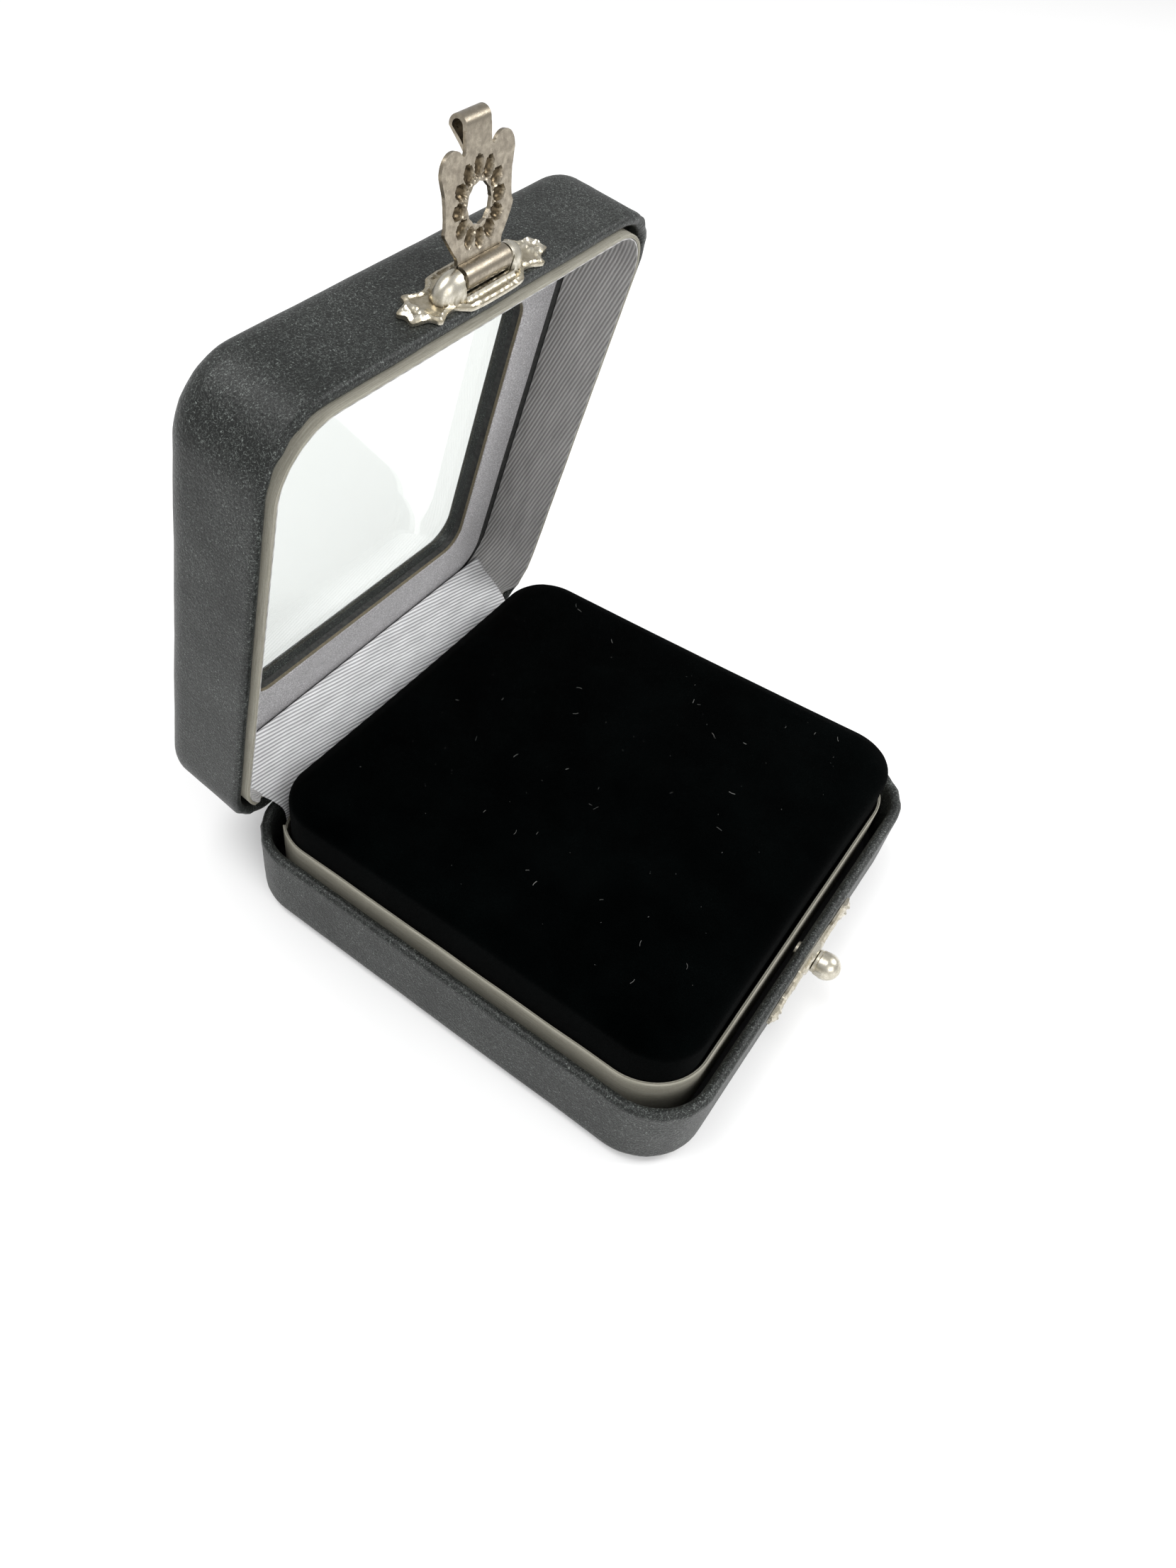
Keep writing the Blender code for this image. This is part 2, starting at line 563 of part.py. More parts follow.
def make_leaf(look, pivot):
    """Pierced hasp leaf with its barrel and folded tip, hanging from the pin."""
    origin = (0.0, HASP_Y, HASP_Z)
    outside = HASP_Y - LEAF_OFFSET
    inside = outside + HASP_SHEET
    right = [(4.3, 1.3), (4.3, 2.3), (4.9, 3.0), (6.0, 4.5), (6.7, 5.6), (6.3, 6.4), (6.3, 9.2)]
    right += arc(4.75, 11.7, 2.15, -25.0, 150.0, 7)
    right += [(2.5, 12.9), (2.35, 13.6), (2.35, TIP_DROP - 0.3)]
    outline = [(x, HASP_Z - t) for x, t in right] + [(-x, HASP_Z - t) for x, t in reversed(right)]
    leaf = extrude("hasp_leaf", outline, outside, inside, "Y", look["nickel"], origin)
    half = HASP_HALF_LENGTH
    roll = rod("leaf_barrel", HASP_BARREL_RADIUS, -half, half, HASP_Y, HASP_Z, None, origin, 32)
    bore = rod("leaf_bore", HASP_BARREL_RADIUS - HASP_SHEET, -half - 1.0, half + 1.0, HASP_Y, HASP_Z, None,
               origin, 32)
    fold = extrude("leaf_tip", tip_outline(outside, inside), -2.32, 2.32, "X", None, origin)
    hole_profile = [(0.0, -50.0), (HOLE_RADIUS, -50.0), (HOLE_RADIUS, -36.0), (0.0, -36.0)]
    hole = turn("leaf_hole", hole_profile, (0.0, 0.0, HASP_Z - HOLE_DROP), "Y", None, 24, origin)
    combine(leaf, roll, "UNION")
    combine(leaf, fold, "UNION")
    combine(leaf, bore, "DIFFERENCE")
    combine(leaf, hole, "DIFFERENCE")
    for piece in (leaf, roll, bore, fold, hole):
        piece.parent = pivot


def make_catch(look):
    """Mount and domed stud on the front of the base."""
    front = BASE_PLAN[1]
    back = front - GLUE_LINE
    face = back - PLATE_SHEET
    plate = extrude("catch_plate", plate_outline(KNOB_Z - 0.4, 13.5, 3.1), face, back, "Y", look["nickel"])
    boss_profile = [(0.0, back), (3.2, back), (3.2, face), (2.7, face - 0.5), (0.0, face - 0.5)]
    boss = turn("catch_boss", boss_profile, (0.0, 0.0, KNOB_Z), "Y", None, 24)
    bore_profile = [(0.0, -50.0), (SHANK_RADIUS + 0.05, -50.0), (SHANK_RADIUS + 0.05, -36.0), (0.0, -36.0)]
    bore = turn("catch_bore", bore_profile, (0.0, 0.0, KNOB_Z), "Y", None, 16)
    combine(plate, boss, "UNION")
    combine(plate, bore, "DIFFERENCE")

    shell_inside = front + COVER_INSIDE + GLUE_LINE
    collar = face - 0.5 - GLUE_LINE
    dome = KNOB_TIP_Y + KNOB_RADIUS
    profile = [(0.0, shell_inside + 0.4), (1.3, shell_inside + 0.4), (1.3, shell_inside)]
    profile += [(SHANK_RADIUS, shell_inside), (SHANK_RADIUS, collar), (1.8, collar), (1.95, collar - 0.5)]
    for u, v in arc(0.0, 0.0, KNOB_RADIUS, 0.0, 90.0, 6)[:-1]:
        profile.append((u, dome - v))
    profile.append((0.0, KNOB_TIP_Y))
    turn("catch_knob", profile, (0.0, 0.0, KNOB_Z), "Y", look["nickel"], 20)


# ---------------------------------------------------------------- assembly

def main():
    for obj in list(bpy.data.objects):
        bpy.data.objects.remove(obj)
    look = {
        "leather": make_look("cover_leather", LEATHER_BLACK, 0.45),
        "shell": make_look("shell_plastic", (0.02, 0.02, 0.02), 0.6),
        "paper": make_look("underside_paper", (0.03, 0.03, 0.03), 0.85),
        "cream": make_look("cream_card", CREAM, 0.7),
        "black_card": make_look("black_card", (0.015, 0.015, 0.015), 0.7),
        "satin": make_look("silver_satin", SILVER_GREY, 0.45),
        "glass": make_look("window_glass", (0.97, 0.98, 0.97), 0.02, transmission=1.0),
        "velvet": make_look("black_velvet", (0.004, 0.006, 0.006), 0.95),
        "foam": make_look("pad_foam", (0.75, 0.72, 0.62), 0.9),
        "board": make_look("grey_board", (0.32, 0.30, 0.27), 0.85),
        "nickel": make_look("nickel_plate", NICKEL, 0.22, 1.0),
        "steel": make_look("hinge_steel", (0.56, 0.56, 0.55), 0.35, 1.0),
    }
    lid_pin = (0.0, HINGE_Y, HINGE_Z)
    hasp_pin = (0.0, HASP_Y, HASP_Z)
    lid_pivot = make_pivot("lid_pivot", lid_pin, -LID_OPENING)
    hasp_pivot = make_pivot("hasp_pivot", hasp_pin, -HASP_OPENING, lid_pivot, lid_pin)
    make_base(look)
    make_pad(look)
    make_lid(look, lid_pivot)
    make_hinge(look, lid_pivot)
    make_hasp(look, lid_pivot, hasp_pivot)
    make_catch(look)


main()
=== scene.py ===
"""Looks of the jewelry box: leather, twill, satin, velvet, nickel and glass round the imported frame.

Frame: origin at the centre of the underside, +Z up, -Y the catch side. Lengths are in millimetres
and become metres when a mesh is made. Lid and hasp pieces are drawn closed and then swung open.
"""
import json
import math
import random

import bmesh
import bpy
import numpy as np
from mathutils import Matrix, Vector, geometry, noise


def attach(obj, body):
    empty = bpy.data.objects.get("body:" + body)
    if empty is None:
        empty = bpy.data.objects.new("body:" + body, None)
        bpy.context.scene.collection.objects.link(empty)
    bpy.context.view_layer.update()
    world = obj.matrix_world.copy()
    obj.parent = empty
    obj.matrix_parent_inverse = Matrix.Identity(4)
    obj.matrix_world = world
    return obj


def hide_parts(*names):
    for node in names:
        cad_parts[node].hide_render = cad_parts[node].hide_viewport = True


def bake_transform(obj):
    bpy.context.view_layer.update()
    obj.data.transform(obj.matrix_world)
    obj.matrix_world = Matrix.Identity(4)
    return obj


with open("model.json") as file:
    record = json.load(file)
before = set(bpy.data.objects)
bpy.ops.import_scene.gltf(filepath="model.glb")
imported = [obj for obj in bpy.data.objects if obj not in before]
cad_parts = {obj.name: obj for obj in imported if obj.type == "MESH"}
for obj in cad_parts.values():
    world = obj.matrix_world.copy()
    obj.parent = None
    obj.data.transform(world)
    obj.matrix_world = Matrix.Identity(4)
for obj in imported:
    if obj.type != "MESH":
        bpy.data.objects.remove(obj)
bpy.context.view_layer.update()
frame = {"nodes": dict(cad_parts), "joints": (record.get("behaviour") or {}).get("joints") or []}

MM = 0.001
SIDE_STEPS = 44           # columns along one straight side of a plan
CORNER_STEPS = 16         # columns round one plan corner
TWILL_PITCH = 0.57
LEATHER = 0.4

# ---------------------------------------------------------------- places, from the frame

JOINTS = {joint["name"]: joint for joint in frame["joints"]}


def turned(pin, degrees):
    """A turn about +X through a pin, in millimetres."""
    shift = Matrix.Translation(pin)
    return shift @ Matrix.Rotation(math.radians(degrees), 4, "X") @ shift.inverted()


LID_PIN = Vector(JOINTS["lid_hinge"]["pos_m"]) / MM
LID_OPEN = turned(LID_PIN, -JOINTS["lid_hinge"]["range_deg"][1])
HASP_PIN = LID_OPEN.inverted() @ (Vector(JOINTS["hasp_hinge"]["pos_m"]) / MM)
HASP_OPEN = LID_OPEN @ turned(HASP_PIN, -JOINTS["hasp_hinge"]["range_deg"][1])
AT_REST = Matrix.Identity(4)


def moved(points, matrix):
    """Points of any array shape (..., 3) under a matrix."""
    turn = np.array(matrix)
    return points @ turn[:3, :3].T + turn[:3, 3]


def closed_box(node, matrix=AT_REST):
    """Lowest and highest corner of a CAD node in millimetres, with its body swung closed."""
    points = np.array([v.co for v in frame["nodes"][node].data.vertices]) / MM
    points = moved(points, matrix.inverted())
    return points.min(0), points.max(0)


def plan_of(node, radius, matrix=AT_REST):
    """Half width, front edge, rear edge and corner radius of a node's outline."""
    low, high = closed_box(node, matrix)
    return (high[0], low[1], high[1], radius)


BASE_PLAN = plan_of("base_cover", 9.8)
BASE_LOW, BASE_RIM = (corner[2] for corner in closed_box("base_cover"))
BAND_PLAN = plan_of("base_liner_band", 9.3)
BAND_LOW, BAND_TOP = (corner[2] for corner in closed_box("base_liner_band"))
PAD_PLAN = plan_of("pad_velvet", 8.3)
PAD_LOW, PAD_TOP = (corner[2] for corner in closed_box("pad_velvet"))
LID_PLAN = plan_of("lid_cover", 10.0, LID_OPEN)
LID_RIM, LID_TOP = (corner[2] for corner in closed_box("lid_cover", LID_OPEN))
LINER_PLAN = plan_of("lid_liner_card", 9.3, LID_OPEN)
LINER_FOOT, LINER_TOP = (corner[2] for corner in closed_box("lid_liner_card", LID_OPEN))
MOUNT_PLAN = plan_of("window_satin", 6.0, LID_OPEN)
MOUNT_FACE, MOUNT_BACK = (corner[2] for corner in closed_box("window_satin", LID_OPEN))
MOUNT_WINDOW = (26.5, -25.2, 25.2, 4.0)
WINDOW_PLAN = (29.2, -27.6, 27.6, 4.5)


# ---------------------------------------------------------------- mesh helpers

def inset(plan, distance):
    """The same outline moved inwards, or outwards for a negative distance."""
    half_x, front, rear, radius = plan
    return (half_x - distance, front + distance, rear - distance, max(radius - distance, 0.4))


def outline(plan):
    """Points round a rounded rectangle, anticlockwise from its right front corner."""
    half_x, front, rear, radius = plan
    corners = ((half_x - radius, front + radius, -90.0), (half_x - radius, rear - radius, 0.0),
               (radius - half_x, rear - radius, 90.0), (radius - half_x, front + radius, 180.0))
    arcs = []
    for centre_x, centre_y, start in corners:
        angles = np.radians(start + 90.0 * np.arange(CORNER_STEPS + 1) / CORNER_STEPS)
        arcs.append(np.stack([centre_x + radius * np.cos(angles), centre_y + radius * np.sin(angles)], 1))
    points = []
    for index, arc in enumerate(arcs):
        points.append(arc)
        end = arcs[(index + 1) % 4][0]
        share = (np.arange(1, SIDE_STEPS) / SIDE_STEPS)[:, None]
        points.append(arc[-1] + (end - arc[-1]) * share)
    return np.concatenate(points)


def cornerness():
    """1 in the middle of each corner's columns, 0 along the sides."""
    bump = np.sin(np.pi * np.arange(CORNER_STEPS + 1) / CORNER_STEPS)
    return np.tile(np.concatenate([bump, np.zeros(SIDE_STEPS - 1)]), 4)


def loft(plan, profile):
    """Rows of points, one for each (inset, z) of the profile."""
    rows = []
    for distance, z in profile:
        ring = outline(inset(plan, distance))
        rows.append(np.column_stack([ring, np.full(len(ring), z)]))
    return np.array(rows)


def quarter(first, last, steps):
    """Angles in radians from first to last degrees, both included."""
    return np.radians(np.linspace(first, last, steps + 1))


def row_normals(rows, looped):
    """Unit normals of a ring-shaped grid of points."""
    across = np.roll(rows, -1, 1) - np.roll(rows, 1, 1)
    along = np.roll(rows, -1, 0) - np.roll(rows, 1, 0) if looped else np.gradient(rows, axis=0)
    normals = np.cross(across, along)
    return normals / np.maximum(np.linalg.norm(normals, axis=2, keepdims=True), 1e-9)


def noise_at(points, scale, seed=0.0):
    """Smooth noise between about -1 and 1 at every point, one lump per 1 / scale millimetres."""
    flat = points.reshape(-1, 3) * scale + seed
    values = [noise.noise(Vector(p)) for p in flat]
    return np.array(values).reshape(points.shape[:-1])


def smooth_step(values):
    share = np.clip(values, 0.0, 1.0)
    return share * share * (3.0 - 2.0 * share)


def make_mesh(name, points, faces, look, uv=None, wear_and_shade=None, sharp=50.0):
    """A named object in metres, with its normals facing out."""
    mesh = bpy.data.meshes.new(name)
    mesh.from_pydata((points * MM).tolist(), [], faces)
    if uv is not None:
        layer = mesh.uv_layers.new(name="weave")
        layer.data.foreach_set("uv", np.asarray(uv, np.float32).ravel())
    if wear_and_shade is not None:
        attribute = mesh.attributes.new("wear_and_shade", "FLOAT", "POINT")
        attribute.data.foreach_set("value", np.asarray(wear_and_shade, np.float32))
    work = bmesh.new()
    work.from_mesh(mesh)
    bmesh.ops.recalc_face_normals(work, faces=work.faces[:])
    work.to_mesh(mesh)
    work.free()
    mesh.shade_smooth()
    mesh.set_sharp_from_angle(angle=math.radians(sharp))
    mesh.materials.append(look)
    piece = bpy.data.objects.new(name, mesh)
    bpy.context.scene.collection.objects.link(piece)
    return piece


def make_grid(name, rows, look, matrix=AT_REST, ring=True, looped=False, capped=False, sharp=50.0):
    """A sheet or tube from rows of points. Its UVs are millimetres round and along it."""
    count_v, count_u = rows.shape[:2]
    last_u = count_u if ring else count_u - 1
    last_v = count_v if looped else count_v - 1
    widest = rows[np.argmax(np.ptp(rows.reshape(count_v, -1), axis=1))]
    steps_u = np.linalg.norm(np.roll(widest, -1, 0) - widest, axis=1)
    u = np.concatenate([[0.0], np.cumsum(steps_u)])
    steps_v = np.median(np.linalg.norm(np.roll(rows, -1, 0) - rows, axis=2), axis=1)
    v = np.concatenate([[0.0], np.cumsum(steps_v)])
    faces = []
    uv = []
    for i in range(last_v):
        below = i * count_u
        above = ((i + 1) % count_v) * count_u
        for j in range(last_u):
            k = (j + 1) % count_u
            faces.append((below + j, below + k, above + k, above + j))
            uv.append(((u[j], v[i]), (u[j + 1], v[i]), (u[j + 1], v[i + 1]), (u[j], v[i + 1])))
    uv = np.array(uv).reshape(-1, 2)
    if capped:
        for start in (0, (count_v - 1) * count_u):
            faces.append(tuple(range(start, start + count_u)))
            uv = np.concatenate([uv, rows[start // count_u][:, :2]])
    return make_mesh(name, moved(rows.reshape(-1, 3), matrix), faces, look, uv, sharp=sharp)


def thicken(piece, thickness):
    """Give an open sheet its thickness, in millimetres, for good."""
    step = piece.modifiers.new("thickness", "SOLIDIFY")
    step.thickness = thickness * MM
    bpy.context.view_layer.update()
    solid = bpy.data.meshes.new_from_object(piece.evaluated_get(bpy.context.evaluated_depsgraph_get()))
    piece.modifiers.clear()
    piece.data = solid


# ---------------------------------------------------------------- materials

class Look:
    """One Principled material, built up node by node. Lengths inside it are millimetres."""

    def __init__(self, name, colour, roughness, **sockets):
        self.material = bpy.data.materials.new(name)
        self.material.use_nodes = True
        self.tree = self.material.node_tree
        self.shader = self.tree.nodes["Principled BSDF"]
        self.shader.inputs["Base Color"].default_value = (*colour, 1.0)
        self.shader.inputs["Roughness"].default_value = roughness
        for socket, value in sockets.items():
            self.shader.inputs[socket.replace("_", " ")].default_value = value

    def node(self, kind, **settings):
        made = self.tree.nodes.new("ShaderNode" + kind)
        for key, value in settings.items():
            setattr(made, key, value)
        return made

    def place(self, source="Object", stretch=(1.0, 1.0, 1.0), angle=0.0):
        """Object coordinates, or the weave UVs, in millimetres."""
        scale = 1.0 if source == "UV" else 1.0 / MM
        coordinates = self.node("TexCoord")
        mapping = self.node("Mapping")
        mapping.inputs["Scale"].default_value = [scale * s for s in stretch]
        mapping.inputs["Rotation"].default_value = (0.0, 0.0, math.radians(angle))
        self.tree.links.new(coordinates.outputs[source], mapping.inputs["Vector"])
        return mapping.outputs["Vector"]

    def grain(self, place, scale, detail=3.0, rough=0.55):
        made = self.node("TexNoise")
        made.inputs["Scale"].default_value = scale
        made.inputs["Detail"].default_value = detail
        made.inputs["Roughness"].default_value = rough
        self.tree.links.new(place, made.inputs["Vector"])
        return made.outputs["Fac"]

    def pebbles(self, place, scale, feature="F1"):
        made = self.node("TexVoronoi", feature=feature)
        made.inputs["Scale"].default_value = scale
        self.tree.links.new(place, made.inputs["Vector"])
        return made.outputs["Distance"]

    def ribs(self, place, pitch, wander=0.6):
        """Parallel ribs across the place's own X."""
        made = self.node("TexWave", wave_type="BANDS", bands_direction="X")
        made.inputs["Scale"].default_value = 2.0 * math.pi / (20.0 * pitch)
        made.inputs["Distortion"].default_value = wander
        made.inputs["Detail"].default_value = 2.0
        made.inputs["Detail Scale"].default_value = 0.6
        self.tree.links.new(place, made.inputs["Vector"])
        return made.outputs["Fac"]

    def ramp(self, factor, *stops):
        """Colours or greys at positions along a factor."""
        made = self.node("ValToRGB")
        band = made.color_ramp
        while len(band.elements) < len(stops):
            band.elements.new(0.5)
        for element, (position, value) in zip(band.elements, stops):
            element.position = position
            element.color = (*value, 1.0) if isinstance(value, tuple) else (value, value, value, 1.0)
        self.tree.links.new(factor, made.inputs["Fac"])
        return made.outputs["Color"]

    def tint(self, first, second, blend="MULTIPLY"):
        made = self.node("Mix", data_type="RGBA", blend_type=blend)
        made.inputs["Factor"].default_value = 1.0
        self.tree.links.new(first, made.inputs["A"])
        self.tree.links.new(second, made.inputs["B"])
        return made.outputs["Result"]

    def colour(self, output):
        self.tree.links.new(output, self.shader.inputs["Base Color"])

    def rough(self, output):
        self.tree.links.new(output, self.shader.inputs["Roughness"])

    def bump(self, height, depth, strength=1.0):
        """Raise the surface by a height from 0 to 1 times a depth, on top of any earlier bump."""
        made = self.node("Bump")
        made.inputs["Distance"].default_value = depth * MM
        made.inputs["Strength"].default_value = strength
        self.tree.links.new(height, made.inputs["Height"])
        socket = self.shader.inputs["Normal"]
        if socket.is_linked:
            self.tree.links.new(socket.links[0].from_socket, made.inputs["Normal"])
        self.tree.links.new(made.outputs["Normal"], socket)


def leather_look():
    """Fine pebbled black leatherette with worn grey specks."""
    look = Look("cover_leather", (0.012, 0.013, 0.012), 0.42, Specular_IOR_Level=0.26)
    place = look.place()
    cells = look.pebbles(place, 2.6, "SMOOTH_F1")
    fine = look.grain(place, 6.0, 4.0, 0.7)
    cloud = look.grain(place, 0.12, 3.0)
    specks = look.ramp(look.grain(place, 3.6, 2.0, 0.8), (0.0, 1.0), (0.54, 1.0), (0.64, 3.5))
    worms = look.ramp(look.grain(place, 2.3, 1.0, 0.6), (0.46, 1.0), (0.5, 6.5), (0.54, 1.0))
    tone = look.ramp(cloud, (0.3, (0.006, 0.0068, 0.0063)), (0.7, (0.012, 0.0132, 0.0124)))
    look.colour(look.tint(look.tint(tone, specks), worms))
    look.rough(look.ramp(fine, (0.3, 0.34), (0.75, 0.56)))
    look.bump(cells, 0.06)
    look.bump(fine, 0.025)
    return look.material


def twill_look(name, angle, dark, light):
    """Satin twill: raised ribs, finer cross yarns and slubs."""
    look = Look(name, light, 0.5, Sheen_Weight=0.25, Sheen_Roughness=0.4)
    ribs = look.ribs(look.place("UV", angle=angle), TWILL_PITCH)
    yarns = look.ribs(look.place("UV", angle=angle + 90.0), 0.21, 0.3)
    cloud = look.grain(look.place("UV", (0.25, 1.0, 1.0), angle), 0.5, 3.0)
    # Rib tone: the grooves are darker than the ribs, partly the yarn's own tone and partly painted shade in
    # the grooves.
    tone = look.ramp(ribs, (0.1, dark), (0.75, light))
    shade = look.ramp(cloud, (0.3, 0.84), (0.7, 1.08))
    look.colour(look.tint(tone, shade))
    look.bump(ribs, 0.07)
    look.bump(yarns, 0.012)
    return look.material


def satin_look():
    """Grainy satin of the window mount, its sparkle painted into the colour as bright specks."""
    look = Look("silver_satin", (0.42, 0.42, 0.43), 0.42, Sheen_Weight=0.3)
    place = look.place()
    fine = look.grain(place, 5.5, 3.0, 0.85)
    cloud = look.grain(place, 0.2, 2.0)
    # Painted highlight: the brightest specks of this fine noise are painted glints of sparkle.
    tone = look.ramp(fine, (0.38, (0.20, 0.195, 0.20)), (0.52, (0.36, 0.35, 0.36)),
                     (0.62, (0.80, 0.79, 0.80)))
    look.colour(look.tint(tone, look.ramp(cloud, (0.3, 0.92), (0.7, 1.05))))
    look.bump(fine, 0.035)
    return look.material


def cream_look():
    """Cream paper card, darkened and more olive all over as painted shade for down inside the box, streaked
    along its plies.
    """
    look = Look("cream_card", (0.40, 0.38, 0.31), 0.62)
    fibres = look.grain(look.place(), 3.5, 4.0, 0.7)
    streaks = look.grain(look.place("UV", (0.15, 9.0, 1.0)), 1.4, 3.0)
    # Painted shade: the card tone is kept dark for the shade down inside the box.
    tone = look.ramp(streaks, (0.3, (0.23, 0.22, 0.17)), (0.7, (0.42, 0.40, 0.34)))
    look.colour(look.tint(tone, look.ramp(fibres, (0.3, 0.86), (0.7, 1.06))))
    look.bump(fibres, 0.02)
    look.bump(streaks, 0.02)
    return look.material


def velvet_look():
    """Black velvet: a dead black pile whose nap catches a little light."""
    look = Look("black_velvet", (0.0005, 0.0008, 0.0008), 0.95, Sheen_Weight=0.02, Sheen_Roughness=0.35,
                Specular_IOR_Level=0.0)
    place = look.place()
    pile = look.grain(place, 7.0, 3.0, 0.7)
    nap = look.grain(place, 0.11, 3.0)
    tone = look.ramp(nap, (0.35, (0.0003, 0.0005, 0.0005)), (0.75, (0.0009, 0.0014, 0.0014)))
    look.colour(look.tint(tone, look.ramp(pile, (0.35, 0.5), (0.7, 1.8))))
    look.bump(pile, 0.10)
    return look.material


def nickel_look(name, by_wear_and_shade, dull=(0.40, 0.37, 0.29), bright=(0.66, 0.625, 0.54)):
    """Aged plated metal, brown in its crevices where the mesh says how raised it is, with painted shade in
    the pressed hollows behind the hasp leaf, which the mesh marks the same way.
    """
    look = Look(name, bright, 0.26, Metallic=1.0)
    place = look.place()
    patina = look.grain(place, 1.1, 4.0, 0.7)
    scratches = look.grain(look.place("Object", (0.4, 3.0, 3.0)), 5.0, 3.0)
    tone = look.ramp(patina, (0.3, dull), (0.62, bright))
    if by_wear_and_shade:
        # Per-point tone: wear by how raised the metal is, plus painted shade in the pressed hollows of the
        # hasp leaf.
        wear_and_shade = look.node("Attribute", attribute_name="wear_and_shade").outputs["Fac"]
        crevice = look.ramp(wear_and_shade, (0.0, (0.27, 0.235, 0.185)), (0.28, (0.74, 0.70, 0.62)), (0.8, 1.0))
        tone = look.tint(tone, crevice)
    look.colour(tone)
    look.rough(look.ramp(patina, (0.3, 0.42), (0.7, 0.2)))
    look.bump(scratches, 0.006)
    return look.material


def plain_look(name, dark, light, roughness, scale, depth, **sockets):
    """Mottled paper, board, foam or plastic."""
    look = Look(name, light, roughness, **sockets)
    mottle = look.grain(look.place(), scale, 4.0, 0.65)
    look.colour(look.ramp(mottle, (0.3, dark), (0.7, light)))
    look.bump(mottle, depth)
    return look.material


def glass_look():
    look = Look("window_glass", (0.88, 0.91, 0.885), 0.02, Transmission_Weight=1.0, IOR=1.46)
    smear = look.grain(look.place(), 0.09, 3.0)
    look.rough(look.ramp(smear, (0.4, 0.01), (0.8, 0.06)))
    return look.material


LEATHER_LOOK = leather_look()
# Painted shade and light: one twill in two copies, darker on the walls inside the lid and much lighter on
# the hinge strip, which faces up into the light.
SHADED_WALL_TWILL = twill_look("lining_twill_shaded", 76.0, (0.28, 0.275, 0.27), (0.50, 0.49, 0.48))
LIT_STRIP_TWILL = twill_look("strip_twill_lit", -80.0, (0.36, 0.36, 0.37), (0.88, 0.88, 0.89))
PAPER_EDGE = plain_look("mount_paper", (0.10, 0.085, 0.055), (0.18, 0.15, 0.10), 0.7, 3.0, 0.01)
SATIN = satin_look()
CREAM = cream_look()
VELVET = velvet_look()
NICKEL = nickel_look("nickel_plate", True)
# Painted reflection: a darker copy of the nickel for the hasp leaf, painting in the dimmer surroundings it
# reflects.
DIMMED_LEAF_NICKEL = nickel_look("leaf_nickel_dimmed", True, (0.22, 0.19, 0.15), (0.36, 0.32, 0.255))
ROD_NICKEL = nickel_look("rod_nickel", False)
STEEL = plain_look("hinge_steel", (0.40, 0.40, 0.39), (0.58, 0.58, 0.57), 0.35, 2.0, 0.008, Metallic=1.0)
GLASS = glass_look()
# Painted shade: the window card is coloured near black so the gap round the mount reads as shadow.
GAP_SHADE_CARD = plain_look("black_card", (0.008, 0.0085, 0.008), (0.045, 0.045, 0.043), 0.7, 1.6, 0.02)
PLASTIC = plain_look("shell_plastic", (0.014, 0.014, 0.014), (0.026, 0.026, 0.026), 0.55, 1.5, 0.01)
FLOCK = plain_look("underside_paper", (0.018, 0.018, 0.018), (0.05, 0.05, 0.05), 0.9, 5.0, 0.06)
FOAM = plain_look("pad_foam_look", (0.55, 0.52, 0.42), (0.78, 0.75, 0.64), 0.9, 2.2, 0.12)
BOARD = plain_look("grey_board_look", (0.24, 0.22, 0.20), (0.38, 0.36, 0.32), 0.85, 3.0, 0.04)
LINT = plain_look("lint", (0.10, 0.10, 0.095), (0.24, 0.24, 0.23), 0.8, 2.0, 0.01)

CARRIED_OVER = {
    "base_shell": PLASTIC, "lid_shell": PLASTIC, "base_bottom_panel": FLOCK, "window_glass": GLASS,
    "window_card": GAP_SHADE_CARD, "pad_foam": FOAM, "pad_form": BOARD, "hinge_leaf_base": STEEL,
    "hinge_leaf_lid": STEEL, "hinge_pin": STEEL, "hasp_pin": ROD_NICKEL,
}
for node_name, look in CARRIED_OVER.items():
    slots = frame["nodes"][node_name].data.materials
    slots.clear()
    slots.append(look)


# ---------------------------------------------------------------- leather covers

COVER_INSIDE = 1.7
FLAP_OUTSIDE = 1.3
BEAD = COVER_INSIDE / 2.0


def rim_bead(rim, radius, up, inwards_first):
    """Half-round rim profile from one wall face to the other."""
    profile = []
    for angle in quarter(0.0, 180.0, 12):
        across = math.cos(angle) if inwards_first else -math.cos(angle)
        profile.append((BEAD + radius * across, rim - up * BEAD + up * radius * math.sin(angle)))
    return profile


def drape_leather(rows, softness, rim, up):
    """Gentle waves over the wall, and gathered pleats round each corner near the rim."""
    normals = row_normals(rows, True)
    outward = rows - rows.reshape(-1, 3).mean(0)
    if (normals * outward * softness[:, None, None]).sum() < 0.0:
        normals = -normals
    waves = 0.07 * noise_at(rows, 0.09, 3.0) + 0.035 * noise_at(rows, 0.32, 9.0)
    angle = np.arctan2(rows[..., 1], rows[..., 0])
    near_rim = np.exp(-np.abs(rows[..., 2] - rim) / 3.6)
    gather = np.sin(angle * 92.0 + 2.0 * noise_at(rows, 0.4, 5.0))
    pleats = 0.11 * gather * cornerness()[None, :] * near_rim
    creases = 0.05 * gather * cornerness()[None, :] * (1.0 - near_rim) * up
    lift = (waves + pleats + np.maximum(creases, 0.0)) * softness[:, None]
    return rows + normals * lift[..., None]


